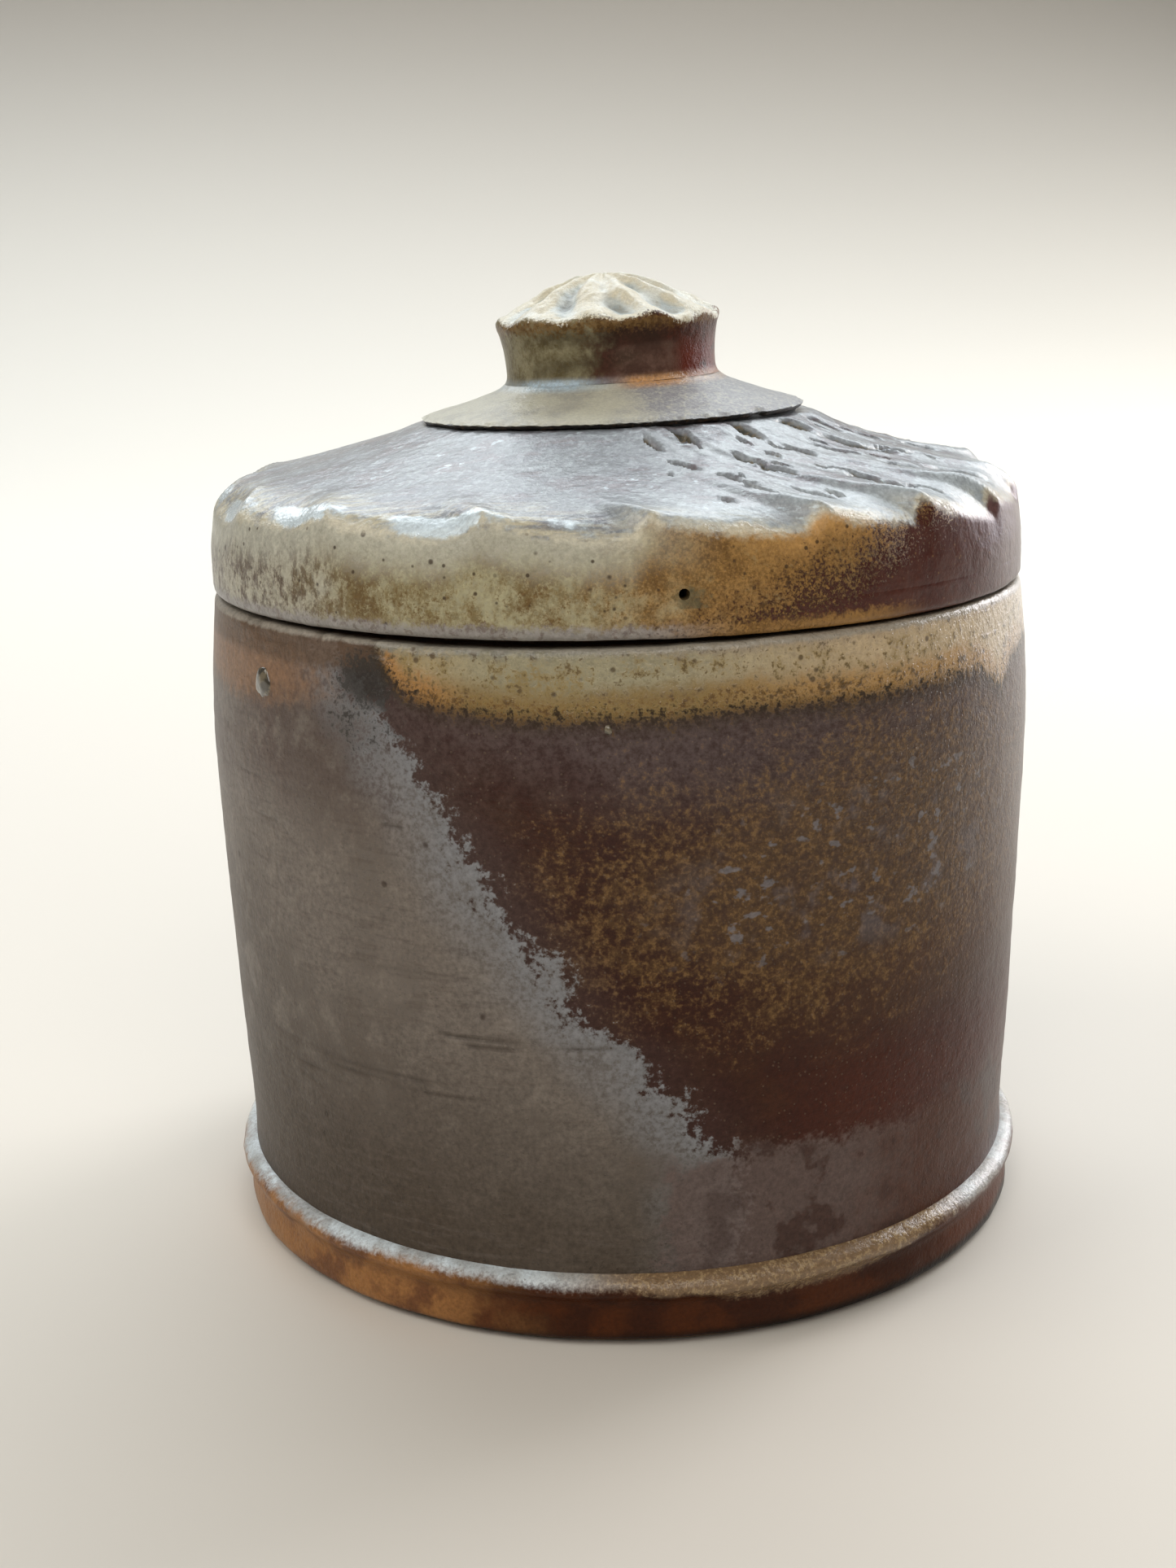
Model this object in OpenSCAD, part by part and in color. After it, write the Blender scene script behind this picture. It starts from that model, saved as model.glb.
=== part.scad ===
// Lidded stoneware sugar bowl: a thrown wall luted onto a beaded base disc, and a
// hollow lid made of a facet-cut shell, a floor disc, a locating ring, a collar and
// a flared knob. Millimetres, +Z up, origin on the table under the middle of the base.

/* [Pot] */
// Height of the rim above the table
rim_z = 79.5; // [70:0.5:90]
// Thickness of the base disc, up to the top of its bead
base_h = 8.5; // [7:0.5:11]
// Outer radius of the base disc at the table
base_r = 50.2; // [49:0.1:51]
// Radius of the rounded bead that runs round the base disc
bead_r = 2; // [1.5:0.1:2.5]
// Outer radius of the wall where it meets the base
wall_foot_r = 49.4; // [48.6:0.1:49.6]
// Outer radius of the wall at its widest
belly_r = 51; // [50:0.1:52]
// Height of the widest place above the table
belly_z = 64; // [55:1:68]
// Radius of the curve that draws the wall in from its widest place to the rim
shoulder_curve_r = 108; // [90:1:160]
// Inner radius of the wall, the bore that takes the locating ring
mouth_r = 45; // [44.5:0.1:45.5]

/* [Lid] */
// Outer radius of the lid
lid_r = 50; // [49:0.1:50.5]
// Gap between the rim and the underside of the lid
seat_gap = 0.4; // [0.3:0.1:0.8]
// Thickness of the disc that closes the lid underneath
lid_floor_t = 3.2; // [3:0.1:4]
// Height of the cut ridges at the shoulder, above the underside of the lid
shoulder_h = 13.9; // [13:0.1:15]
// Height of the flat under the collar, above the underside of the lid
crown_h = 19.3; // [18.8:0.1:20]
// Wall thickness of the hollow lid shell
shell_t = 5.2; // [4:0.1:6]
// Number of cuts round the lid
lid_cuts = 18; // [12:2:22]
// Fall of each cut from its ridge to its far side, in degrees
lid_cut_twist = 8; // [4:1:8]
// Turn of the cuts about the axis, in degrees
lid_cut_turn = 5; // [0:1:20]
// Radius of the vent hole through the side of the lid
vent_r = 0.55; // [0.4:0.05:0.8]
// Depth of the locating ring below the lid
ring_h = 7; // [5:0.5:9]
// Wall thickness of the locating ring
ring_t = 4.4; // [3.5:0.1:5]
// Gap between the locating ring and the wall
ring_gap = 1; // [0.6:0.1:1.5]

/* [Knob] */
// Radius of the collar under the knob
collar_r = 23.7; // [22:0.1:25]
// Height of the collar
collar_h = 4.6; // [4:0.1:5]
// Thickness of the collar at its torn edge
collar_edge_t = 1.1; // [0.8:0.1:1.5]
// Radius of the knob at its neck
neck_r = 12.9; // [12:0.1:13.4]
// Radius of the knob at its flared rim
knob_r = 13.9; // [13.5:0.1:15]
// Height of the flared rim above the collar
knob_rim_h = 7.3; // [6.5:0.1:8]
// Rise of the carved crown above the flared rim
knob_crown_h = 5.4; // [4.5:0.1:6]
// Number of cuts round the crown of the knob
knob_cuts = 11; // [8:1:16]
// Fall of each cut on the crown, in degrees
knob_cut_twist = 9; // [5:0.5:12]
// Turn of the cuts on the crown about the axis, in degrees
knob_cut_turn = 3; // [0:1:32]

/* [Hidden] */
$fn = 96;

curve_steps = 6;
arc_steps = 6;
rim_round = 0.9;
base_bevel = 1.3;
bead_sink = 0.1;
lid_edge_round = 1;
seat_z = rim_z + seat_gap;
shell_z = seat_z + lid_floor_t;
shoulder_z = seat_z + shoulder_h;
crown_z = seat_z + crown_h;
crown_r = collar_r - 1;
shoulder_round = 2.4;
shoulder_r = lid_r - 2;
side_lean = 0.5;
cut_depth = 2;
vent_z = seat_z + 4.7;
vent_turn = -82;
ring_taper = 0.4;
ring_bevel = 0.8;
collar_z = crown_z + collar_h;
collar_edge_lean = 0.1;
collar_top_r = neck_r + 0.5;
collar_fillet = 1.3;
collar_fillet_start = 250;
knob_rim_z = collar_z + knob_rim_h;
knob_foot_r = neck_r + 0.1;
knob_waist_r = neck_r + 0.2;
knob_lip_r = knob_r - 0.1;
knob_neck_h = 1.2;
knob_waist_h = 3.6;
knob_lip_h = 0.5;
cut_fall = atan2(crown_z - shoulder_z, shoulder_r - crown_r);
crown_fall = atan2(knob_crown_h, knob_r);

// Reach of the cutting solids, well outside the bowl, and how far they run past a face.
big = 200;
clear = 1;

glaze_dark = "#4a3631";
glaze_ash = "#8e8368";
glaze_grey = "#9a9a9c";
clay_orange = "#8a5a3c";

// Points of an arc about [x, z] from angle a to angle b.
function arc(x, z, r, a, b, n = arc_steps) =
    [for (i = [0 : n]) let (t = a + (b - a) * i / n) [x + r * cos(t), z + r * sin(t)]];

// Outer radius of the wall above its widest place.
function shoulder_curve(z) = belly_r - pow(z - belly_z, 2) / (2 * shoulder_curve_r);

// One cut's share of the circle, about +X, started a little past the axis so that the
// cuts leave no needle of clay between them.
module sector(count) {
    overlap = 0.2;
    half = big * tan(180 / count);
    linear_extrude(big) polygon([[-overlap, 0], [big, -half], [big, half]]);
}

// Everything above the sloping planes of a ring of cuts: each plane starts at
// height z and radius r, falls outwards by fall, and falls anticlockwise by twist.
module cut_ring(count, r, z, fall, twist) {
    side_drop = r * tan(180 / count) * tan(twist);
    for (i = [0 : count - 1])
        rotate([0, 0, 360 * i / count])
            intersection() {
                sector(count);
                translate([r, 0, z - side_drop])
                    rotate([-twist, fall, 0])
                        translate([-big / 2, -big / 2, 0])
                            cube([big, big, big / 2]);
            }
}

module wall() {
    top = rim_z - rim_round;
    rim_r = shoulder_curve(top);
    outer = [for (i = [0 : curve_steps])
        let (z = belly_z + (top - belly_z) * i / curve_steps) [shoulder_curve(z), z]];
    color(glaze_dark)
        rotate_extrude()
            polygon(concat(
                [[mouth_r, base_h], [wall_foot_r, base_h]],
                outer,
                arc(rim_r - rim_round, top, rim_round, 0, 90),
                arc(mouth_r + rim_round, top, rim_round, 90, 180)
            ));
}

module base() {
    color(clay_orange)
        rotate_extrude()
            polygon(concat(
                [[0, 0], [base_r - base_bevel, 0], [base_r, base_bevel]],
                arc(wall_foot_r - bead_sink, base_h - bead_r, bead_r, 0, 90),
                [[0, base_h]]
            ));
}

module lid_shell() {
    hollow_r = lid_r - shell_t;
    hollow_shoulder_z = shoulder_z - cut_depth - shell_t;
    hollow_top_z = crown_z - shell_t;
    round_z = shoulder_z - shoulder_round;
    color(glaze_ash)
        difference() {
            rotate_extrude()
                polygon(concat(
                    [[0, shell_z], [lid_r, shell_z]],
                    arc(lid_r - side_lean - shoulder_round, round_z, shoulder_round, 0, 90 - cut_fall),
                    [[crown_r, crown_z], [0, crown_z]]
                ));
            rotate([0, 0, lid_cut_turn])
                cut_ring(lid_cuts, crown_r, crown_z, cut_fall, lid_cut_twist);
            rotate_extrude()
                polygon([
                    [0, shell_z - clear], [hollow_r, shell_z - clear],
                    [hollow_r, hollow_shoulder_z], [crown_r, hollow_top_z], [0, hollow_top_z]
                ]);
            rotate([0, 0, vent_turn])
                translate([hollow_r - clear, 0, vent_z])
                    rotate([0, 90, 0])
                        cylinder(h = shell_t + 2 * clear, r = vent_r, $fn = 24);
        }
}

module lid_floor() {
    color(glaze_grey)
        rotate_extrude()
            polygon(concat(
                [[0, seat_z]],
                arc(lid_r - lid_edge_round, seat_z + lid_edge_round, lid_edge_round, -90, 0),
                [[lid_r, shell_z], [0, shell_z]]
            ));
}

module locating_ring() {
    outer_r = mouth_r - ring_gap;
    inner_r = outer_r - ring_t;
    foot_z = seat_z - ring_h;
    foot_r = outer_r - ring_taper;
    color(glaze_dark)
        rotate_extrude()
            polygon([
                [inner_r, foot_z], [foot_r - ring_bevel, foot_z], [foot_r, foot_z + ring_bevel],
                [outer_r, seat_z], [inner_r, seat_z]
            ]);
}

module collar() {
    edge_r = collar_r - collar_edge_lean;
    edge_z = crown_z + collar_edge_t;
    color(glaze_grey)
        rotate_extrude()
            polygon(concat(
                [[0, crown_z], [collar_r, crown_z], [edge_r, edge_z]],
                arc(collar_top_r + collar_fillet, collar_z, collar_fillet, collar_fillet_start, 180),
                [[0, collar_z]]
            ));
}

module knob() {
    crown_top = knob_rim_z + knob_crown_h + clear;
    color(glaze_ash)
        difference() {
            rotate_extrude()
                polygon([
                    [0, collar_z], [knob_foot_r, collar_z], [neck_r, collar_z + knob_neck_h],
                    [knob_waist_r, collar_z + knob_waist_h], [knob_r, knob_rim_z],
                    [knob_lip_r, knob_rim_z + knob_lip_h], [0, crown_top]
                ]);
            translate([0, 0, knob_rim_z])
                rotate([0, 0, knob_cut_turn])
                    cut_ring(knob_cuts, 0, knob_crown_h, crown_fall, knob_cut_twist);
        }
}

wall();
base();
lid_shell();
lid_floor();
locating_ring();
collar();
knob();
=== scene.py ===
"""Stoneware sugar bowl, fired with wood: a thrown wall on a beaded base, under a
hollow lid with knife cuts, a torn collar and a flared knob. Shapes are worked out in
millimetres round the bowl's axis and stored in metres."""
import math
import random

import bmesh
import bpy
from mathutils import Matrix, Vector, noise


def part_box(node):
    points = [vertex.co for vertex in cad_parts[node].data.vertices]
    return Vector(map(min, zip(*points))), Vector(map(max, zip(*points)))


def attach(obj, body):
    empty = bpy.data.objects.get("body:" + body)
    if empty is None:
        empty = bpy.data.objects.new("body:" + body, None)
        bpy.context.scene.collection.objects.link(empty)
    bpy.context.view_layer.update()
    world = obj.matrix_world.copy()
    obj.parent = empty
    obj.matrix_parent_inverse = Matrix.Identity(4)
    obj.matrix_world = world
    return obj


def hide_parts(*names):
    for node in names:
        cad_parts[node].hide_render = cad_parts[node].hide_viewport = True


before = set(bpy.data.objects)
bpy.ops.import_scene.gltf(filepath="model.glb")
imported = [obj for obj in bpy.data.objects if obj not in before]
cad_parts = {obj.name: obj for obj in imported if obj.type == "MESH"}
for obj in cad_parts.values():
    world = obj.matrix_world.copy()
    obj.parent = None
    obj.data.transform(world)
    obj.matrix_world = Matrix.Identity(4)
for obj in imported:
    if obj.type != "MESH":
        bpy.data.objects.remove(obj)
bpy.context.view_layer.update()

bl_info = {
    "name": "Wood-fired sugar bowl",
    "version": (1, 0, 0),
    "blender": (4, 5, 0),
    "location": "View3D > Sidebar > Sugar bowl",
    "description": "Builds a lidded stoneware sugar bowl round its CAD frame",
    "category": "Add Mesh",
}

MM = 0.001


def round_size(node):
    """Outer radius, lowest and highest point of a round CAD node, in millimetres."""
    low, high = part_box(node)
    return (high.x - low.x) / 2 / MM, low.z / MM, high.z / MM


WALL_R, WALL_FOOT, RIM = round_size("wall")
BASE_R, TABLE, BASE_TOP = round_size("base")
LID_R, SEAT, SEAM = round_size("lid_floor")
SHELL_R, SHELL_FOOT, CROWN = round_size("lid_shell")
RING_R, RING_FOOT, RING_TOP = round_size("locating_ring")
COLLAR_R, COLLAR_FOOT, COLLAR_TOP = round_size("collar")
KNOB_R, KNOB_FOOT, KNOB_TOP = round_size("knob")

# Places are given as a turn in degrees round the axis, 0 at the front (-Y) and
# growing anticlockwise from above, a radius and a height.
VENT_TURN = 8
VENT_HEIGHT = SEAT + 4.7
VENT_R = 0.6
# Radius of the mouth, of the base's flat underside and of the lid's flat under the collar,
# height of the lid's shoulder, thickness of the lid's and of the ring's clay, radius of
# the knob's neck and height of its flared rim.
MOUTH_R = 45
UNDER_R = 49.2
FLAT_R = 23
SHOULDER = 92.3
LID_T = 5.2
RING_T = 4.4
NECK_R = 13
KNOB_RIM = KNOB_FOOT + 7.3

# Outer radius of the wall and of the base against height above the table.
WALL_LINE = (
    (8.5, 49.35), (13, 49.3), (24, 49.8), (34, 50.15), (45, 50.5), (55, 50.8),
    (63, 50.95), (70, 50.7), (75, 50.3), (79.5, 49.85),
)
BASE_LINE = (
    (0, 49.9), (1.4, 50.3), (3, 50.2), (4.6, 49.95), (5.5, 50.3), (6.4, 51.0), (7.2, 51.15),
    (8.0, 50.6), (8.5, 49.6),
)
# Gap between rim and lid round the bowl, which is a little warped.
RIM_GAP = (
    (-180, 0.6), (-120, 0.3), (-70, 0.3), (-50, 0.4), (-35, 0.65), (-13, 0.85),
    (0, 0.7), (21, 0.4), (43, 0.25), (70, 0.2), (120, 0.5), (180, 0.6),
)
# Where the grey flashing ends: turn of its front edge against height above the table, and
# degrees from its middle to its back edge.
GREY_TURN = -60
FROST_EDGE = (
    (22, 14.5), (24, 11), (28, 7.5), (32, 3.5), (35.5, 1), (36.5, -2), (38, -4.5), (43, -8),
    (47, -11), (52, -15), (58, -19), (63, -23), (68, -26.5), (73, -32), (80, -38),
)
BACK_EDGE = ((8, 140), (20, 130), (40, 117), (60, 107), (80, 101))
# Lower edge of the ash band against turn, out of sight where it is above the rim.
ASH_EDGE = (
    (-180, 75), (-155, 76.5), (-140, 84), (-42, 84), (-32, 80), (-27, 74.6), (-16, 72.6),
    (-6, 72.1), (6, 72.2), (14, 72.6), (24, 72.7), (34, 72.6), (52, 72.6), (56, 71.4),
    (60, 69.6), (64, 72), (76, 73.2), (100, 73), (140, 73), (180, 75),
)
# Scratches drawn in the leather-hard clay: turn and height at both ends, and strength.
SCRATCHES = (
    (-25, 36.1, -11, 35.8, 1.0), (-21, 35.1, -13, 35.0, 0.8), (-9, 35.4, 2, 35.9, 0.8),
    (-58, 30.4, -22, 30.1, 0.9), (-46, 29.4, -14, 28.4, 0.7), (-55, 28.2, -38, 27.3, 0.6),
    (-62, 61.7, -44, 61.4, 0.4), (-31, 59.6, -27, 59.4, 0.9), (-60, 52.8, -46, 52.6, 0.4),
    (-58, 57.4, -49, 57.1, 0.4), (-50, 26.5, -44, 25.4, 0.5), (-36, 43.0, -20, 42.7, 0.3),
)
# Glassy drips on the wall: turn, height, half width, half height and how far each stands out.
DRIPS = ((-52, 72.7, 1.75, 1.8, 0.55), (-1.3, 70.9, 0.42, 0.5, 0.3))
# Height of the lid's top against radius, midway between ridges and hollows.
LID_LINE = (
    (20, 99.4), (23, 99.3), (24, 99.2), (25.4, 98.75), (27.4, 97.9), (31.5, 96.5), (35.5, 95.4),
    (39.5, 94.4), (43.6, 93.4), (47, 92.8), (50, 92.1),
)
LID_SIDE = ((83, 50), (86, 49.85), (89, 49.5), (92, 49.2), (95, 49.0))
# Where each knife cut starts at the rim of the lid, and how deep it is beside the others;
# the cuts swirl inwards.
CUT_STARTS = (
    (-60, 0.55), (-38.5, 0.8), (-15, 0.95), (6, 0.9), (28, 1.0), (44.5, 1.1), (63, 0.8),
    (82, 0.9), (103, 1.0), (123, 0.9), (142, 1.1), (162, 0.9), (183, 1.0), (203, 0.85),
    (223, 1.0), (243, 0.9), (262, 0.8), (281, 0.7),
)
CUT_TURNS = [turn for turn, strength in CUT_STARTS]
CUT_SWIRL = 1.0
# Tears left by grit under the knife: turn, radius, length and width.
TEARS = (
    (17, 25.5, 5, 2.2), (35, 25.5, 6, 2.4), (53, 25.5, 6, 3.0), (69, 26.5, 7, 2.6),
    (13, 33.0, 4, 1.0), (27, 33.0, 6, 1.6), (42, 31.5, 4, 1.2), (61, 32.5, 9, 3.4),
    (69, 36.5, 9, 3.2), (20, 38.5, 5, 1.2), (30, 36.5, 4, 1.0), (42, 37.5, 4, 1.2),
    (44, 42.0, 11, 3.2), (50, 45.0, 5, 1.2), (66, 44.0, 9, 3.4), (22, 42.5, 5, 1.0),
    (29, 43.0, 6, 1.2), (9, 27.5, 4, 1.0), (52, 33.0, 5, 1.4), (57, 39.5, 7, 2.2),
)
# Outline of the collar's top and of the knob, radius against height or the reverse.
COLLAR_LINE = (
    (13.25, 103.8), (13.8, 103.35), (14.8, 102.85), (17, 102.1), (19.3, 101.35),
    (21.3, 100.8), (23.7, 100.1),
)
KNOB_LINE = (
    (103.8, 13.25), (104.2, 13.0), (104.9, 12.85), (107.3, 12.95), (109.3, 13.3),
    (110.4, 13.65), (111.2, 13.8), (112, 13.6),
)
CROWN_LINE = ((0, 116.3), (2, 116.1), (4, 115.4), (9, 113.3), (12.5, 111.7), (14, 111.0))
KNOB_STARTS = (-46, -8, 24, 58, 90, 122, 156, 190, 222, 252, 284)
KNOB_SWIRL = 1.5


class BowlShape(bpy.types.PropertyGroup):
    """Sizes of the hand-made unevenness, the cuts and the tears."""

    cut_depth: bpy.props.FloatProperty(
        name="Cut depth", description="Drop of a lid cut from its ridge, at the rim",
        default=2.3 * MM, min=0, unit="LENGTH")
    tear_depth: bpy.props.FloatProperty(
        name="Tear depth", description="Depth of the tears in the top of the lid",
        default=1.2 * MM, min=0, unit="LENGTH")
    knob_cut_depth: bpy.props.FloatProperty(
        name="Knob cut depth", description="Depth of the cuts on the crown of the knob",
        default=1.1 * MM, min=0, unit="LENGTH")
    warp: bpy.props.FloatProperty(
        name="Warp", description="How far the wall wanders from a true circle",
        default=0.2 * MM, min=0, unit="LENGTH")
    throwing: bpy.props.FloatProperty(
        name="Throwing rings", description="Depth of the finger rings inside the pot",
        default=0.35 * MM, min=0, unit="LENGTH")
    knob_lean: bpy.props.FloatProperty(
        name="Knob lean", description="Lean of the knob, its right side higher",
        default=math.radians(2.2), subtype="ANGLE")
    collar_lean: bpy.props.FloatProperty(
        name="Collar lean", description="Lean of the collar, its right side higher",
        default=math.radians(1.3), subtype="ANGLE")
    seed: bpy.props.IntProperty(
        name="Seed", description="Seed of everything that is random", default=7)


def sRGB(code, alpha=1.0):
    """Linear colour of an sRGB hex value such as "8a6a3c"."""
    parts = [int(code[i:i + 2], 16) / 255 for i in (0, 2, 4)]
    return [c / 12.92 if c <= 0.04045 else ((c + 0.055) / 1.055) ** 2.4 for c in parts] + [alpha]


def hue(name, code, words):
    """A colour property that starts from an sRGB hex value."""
    return bpy.props.FloatVectorProperty(
        name=name, description=words, subtype="COLOR", size=4, min=0, max=1, default=sRGB(code))


class BowlGlaze(bpy.types.PropertyGroup):
    """Colours that the clay and the fire leave on the bowl."""

    clay: hue("Bare clay", "8f6f55", "Unglazed stoneware")
    liner: hue("Liner", "4a3226", "Glaze inside the pot")
    iron: hue("Iron flashing", "35180f", "Dark maroon clay on the side away from the fire")
    grey: hue("Grey flashing", "70675f", "Matt taupe on the side towards the fire")
    frost: hue("Frost", "78787a", "Bluish bloom along the edge of the grey flashing")
    ash: hue("Ash", "9a9276", "Ash glaze, thick")
    amber: hue("Amber", "8b7344", "Ash glaze where it runs thin over iron")
    orange: hue("Orange flashing", "84644a", "Clay blushed orange by the flame")
    silver: hue("Silver", "92979b", "Satin ash on the top of the lid")
    cream: hue("Cream", "d2cab2", "Ash glaze where it breaks over an edge")
    smoke: hue("Smoke", "2e2a26", "Clay blackened by the flame")


class BowlStage(bpy.types.PropertyGroup):
    """Studio round the bowl."""

    floor: hue("Floor", "dad4ca", "Colour of the floor and backdrop")
    key: bpy.props.FloatProperty(
        name="Key light", description="Power of the window light, in watts", default=16.0, min=0)
    fill: bpy.props.FloatProperty(
        name="Fill light", description="Power of the front fill, in watts", default=7.0, min=0)
    world: bpy.props.FloatProperty(
        name="Room light", description="Strength of the room's own light", default=0.15, min=0)
    lens: bpy.props.FloatProperty(
        name="Lens", description="Focal length of the camera, in millimetres", default=45.8, min=1)


def along(points, x):
    """Value at x of the smooth curve through points, level beyond its ends."""
    if x <= points[0][0]:
        return points[0][1]
    if x >= points[-1][0]:
        return points[-1][1]
    i = next(k for k in range(1, len(points)) if x <= points[k][0])
    (x0, y0), (x1, y1) = points[i - 1], points[i]
    before = points[max(i - 2, 0)]
    after = points[min(i + 1, len(points) - 1)]
    step = x1 - x0
    slope0 = (y1 - before[1]) / (x1 - before[0]) * step
    slope1 = (after[1] - y0) / (after[0] - x0) * step
    t = (x - x0) / step
    return (y0 * (1 + 2 * t) * (1 - t) ** 2 + slope0 * t * (1 - t) ** 2
            + y1 * t * t * (3 - 2 * t) + slope1 * t * t * (t - 1))


def clamp(x, low=0.0, high=1.0):
    return max(low, min(high, x))


def ease(low, high, x):
    """0 below low, 1 above high and a smooth step between; low may be above high."""
    t = clamp((x - low) / (high - low))
    return t * t * (3 - 2 * t)


def spot(turn, radius, height):
    """Point in millimetres at a turn, radius and height."""
    a = math.radians(turn)
    return Vector((radius * math.sin(a), -radius * math.cos(a), height))


def bumps(place, size, seed=0):
    """Seamless unevenness from -1 to 1, with bumps about size millimetres wide."""
    return noise.noise(place / size + Vector((3.1, 5.7, 9.2)) * (seed + 1))


def apart(a, b):
    """Smallest difference from turn b to turn a, in degrees."""
    return (a - b + 180) % 360 - 180


def finger_ridges(turn, way, pitch):
    """Ridges that the thrower's fingers leave along a way, pitch apart, from -1 to 1."""
    return math.sin((way + turn / 360 * pitch) * math.tau / pitch)


def lid_side_bumps(place):
    """Unevenness of the lid's side, which runs on across the seam between shell and floor."""
    return 0.1 * bumps(place, 8, 23) + 0.04 * bumps(place, 1.8, 24)


def seam_groove(gap):
    """Depth of the faint groove at that seam, gap millimetres away from it."""
    return 0.05 * ease(0.35, 0.0, gap)


def turned(outline, pitch, sectors=50, cuts=7, rounds=()):
    """A closed outline of (radius, height) corners spun round the axis.

    pitch(radius, height) is the spacing of the rings near a side's middle, rounds pairs
    corners' numbers with the radii of their roundings, and every one of the sectors is
    divided by cuts and set back on its circle."""
    bm = bmesh.new()
    corners = [bm.verts.new((r, 0, z)) for r, z in outline]
    for pair in zip(corners, corners[1:] + corners[:1]):
        bm.edges.new(pair)
    for corner, rounding in rounds:
        bmesh.ops.bevel(bm, geom=[corners[corner]], offset=rounding, segments=6, profile=0.5,
                        affect="VERTICES", material=-1)
    for side in list(bm.edges):
        middle = (side.verts[0].co + side.verts[1].co) / 2
        rings = int(side.calc_length() / pitch(middle.x, middle.z))
        if rings:
            bmesh.ops.subdivide_edges(bm, edges=[side], cuts=rings)
    bmesh.ops.spin(bm, geom=bm.verts[:] + bm.edges[:], cent=(0, 0, 0), axis=(0, 0, 1),
                   angle=math.tau, steps=sectors, use_merge=True)
    bmesh.ops.remove_doubles(bm, verts=bm.verts, dist=0.001)
    hoops = [e for e in bm.edges if abs(e.verts[0].co.z - e.verts[1].co.z) < 0.001
             and abs(e.verts[0].co.xy.length - e.verts[1].co.xy.length) < 0.001]
    bmesh.ops.subdivide_edges(bm, edges=hoops, cuts=cuts, use_grid_fill=True)
    half = math.pi / sectors
    for v in bm.verts:
        if v.co.xy.length > 0.01:
            within = (math.atan2(v.co.y, v.co.x) % (2 * half)) - half
            v.co.xy *= math.cos(within) / math.cos(half)
    bmesh.ops.recalc_face_normals(bm, faces=bm.faces)
    return bm


def shaped(bm, rule):
    """Moves every vertex by a rule from turn, radius and height to radius and height."""
    for v in bm.verts:
        radius = v.co.xy.length
        turn = math.degrees(math.atan2(v.co.x, -v.co.y)) if radius > 0.01 else 0
        v.co = spot(turn, *rule(turn, radius, v.co.z))


def painted(bm, name, field):
    """Stores field(turn, radius, height) on every vertex under a name that a glaze reads."""
    layer = bm.verts.layers.float.new(name)
    for v in bm.verts:
        turn = math.degrees(math.atan2(v.co.x, -v.co.y))
        v[layer] = field(turn, v.co.xy.length, v.co.z)


def facing(turn, radius, height):
    """The turn itself over the front, brought round to the right over the back left."""
    return min(turn, 90) if turn > -110 else 90 - 200 * (turn + 180) / 70


def finished(bm, name, material, body, nodes):
    """The piece's object, in metres, riding on its body in place of its CAD nodes."""
    bmesh.ops.scale(bm, vec=(MM, MM, MM), verts=bm.verts)
    mesh = bpy.data.meshes.new(name)
    bm.to_mesh(mesh)
    bm.free()
    mesh.shade_smooth()
    mesh.set_sharp_from_angle(angle=math.radians(55))
    mesh.materials.append(material)
    piece = bpy.data.objects.new(name, mesh)
    bpy.context.scene.collection.objects.link(piece)
    if nodes:
        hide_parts(*nodes)
    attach(piece, body)
    return piece


# --- glazes -----------------------------------------------------------------------


def add(tree, kind, inputs=(), out=0, **settings):
    """One shader node with its settings; an input is a value or another node's socket."""
    node = tree.nodes.new("ShaderNode" + kind)
    for name, value in settings.items():
        setattr(node, name, value)
    for key, value in dict(inputs).items():
        if isinstance(value, bpy.types.NodeSocket):
            tree.links.new(value, node.inputs[key])
        else:
            node.inputs[key].default_value = value
    return node.outputs[out] if node.outputs else node


def started(name):
    """A new material's tree, and the piece's own coordinates in millimetres."""
    material = bpy.data.materials.new(name)
    material.use_nodes = True
    tree = material.node_tree
    tree.nodes.clear()
    place = add(tree, "VectorMath", {0: add(tree, "TexCoord", out=3), 3: 1 / MM},
                operation="SCALE")
    return material, tree, place


def painted_value(tree, name):
    """A value painted on the piece."""
    return add(tree, "Attribute", out=2, attribute_name=name)


def cloud(tree, place, size, detail=3.0, rough=0.6, stretch=(1, 1, 1)):
    """Noise with features about size millimetres wide, drawn out by stretch."""
    scaled = add(tree, "VectorMath", {0: place, 1: stretch}, operation="DIVIDE")
    return add(tree, "TexNoise", {"Vector": scaled, "Scale": 1 / size, "Detail": detail,
                                  "Roughness": rough})


def between(tree, value, low, high, least=0.0, most=1.0):
    """Value remapped so that low gives least and high gives most, smoothly."""
    return add(tree, "MapRange", {0: value, 1: low, 2: high, 3: least, 4: most},
               interpolation_type="SMOOTHSTEP")


def times(tree, a, b):
    return add(tree, "Math", {0: a, 1: b}, operation="MULTIPLY")


def plus(tree, a, b):
    return add(tree, "Math", {0: a, 1: b}, operation="ADD")


def most_of(tree, a, b):
    return add(tree, "Math", {0: a, 1: b}, operation="MAXIMUM")


def pushed(tree, value, grain, amount):
    """A value raised by grain times amount, so that its limits wander with the grain."""
    return plus(tree, value, times(tree, grain, amount))


def mixture(tree, a, share_a, b, share_b):
    """Two values added in their shares."""
    return plus(tree, times(tree, a, share_a), times(tree, b, share_b))


def broken(tree, edge, grain, reach, soft):
    """Mask of where edge is above 0, its border broken by grain over reach millimetres."""
    push = add(tree, "MapRange", {0: grain, 1: 0.3, 2: 0.7, 3: -reach, 4: reach}, clamp=False)
    return between(tree, plus(tree, edge, push), -soft, soft)


def over(tree, below, colour, mask):
    """One colour laid over another where the mask is 1."""
    return add(tree, "Mix", {0: mask, 6: below, 7: colour}, out=2, data_type="RGBA")


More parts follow.
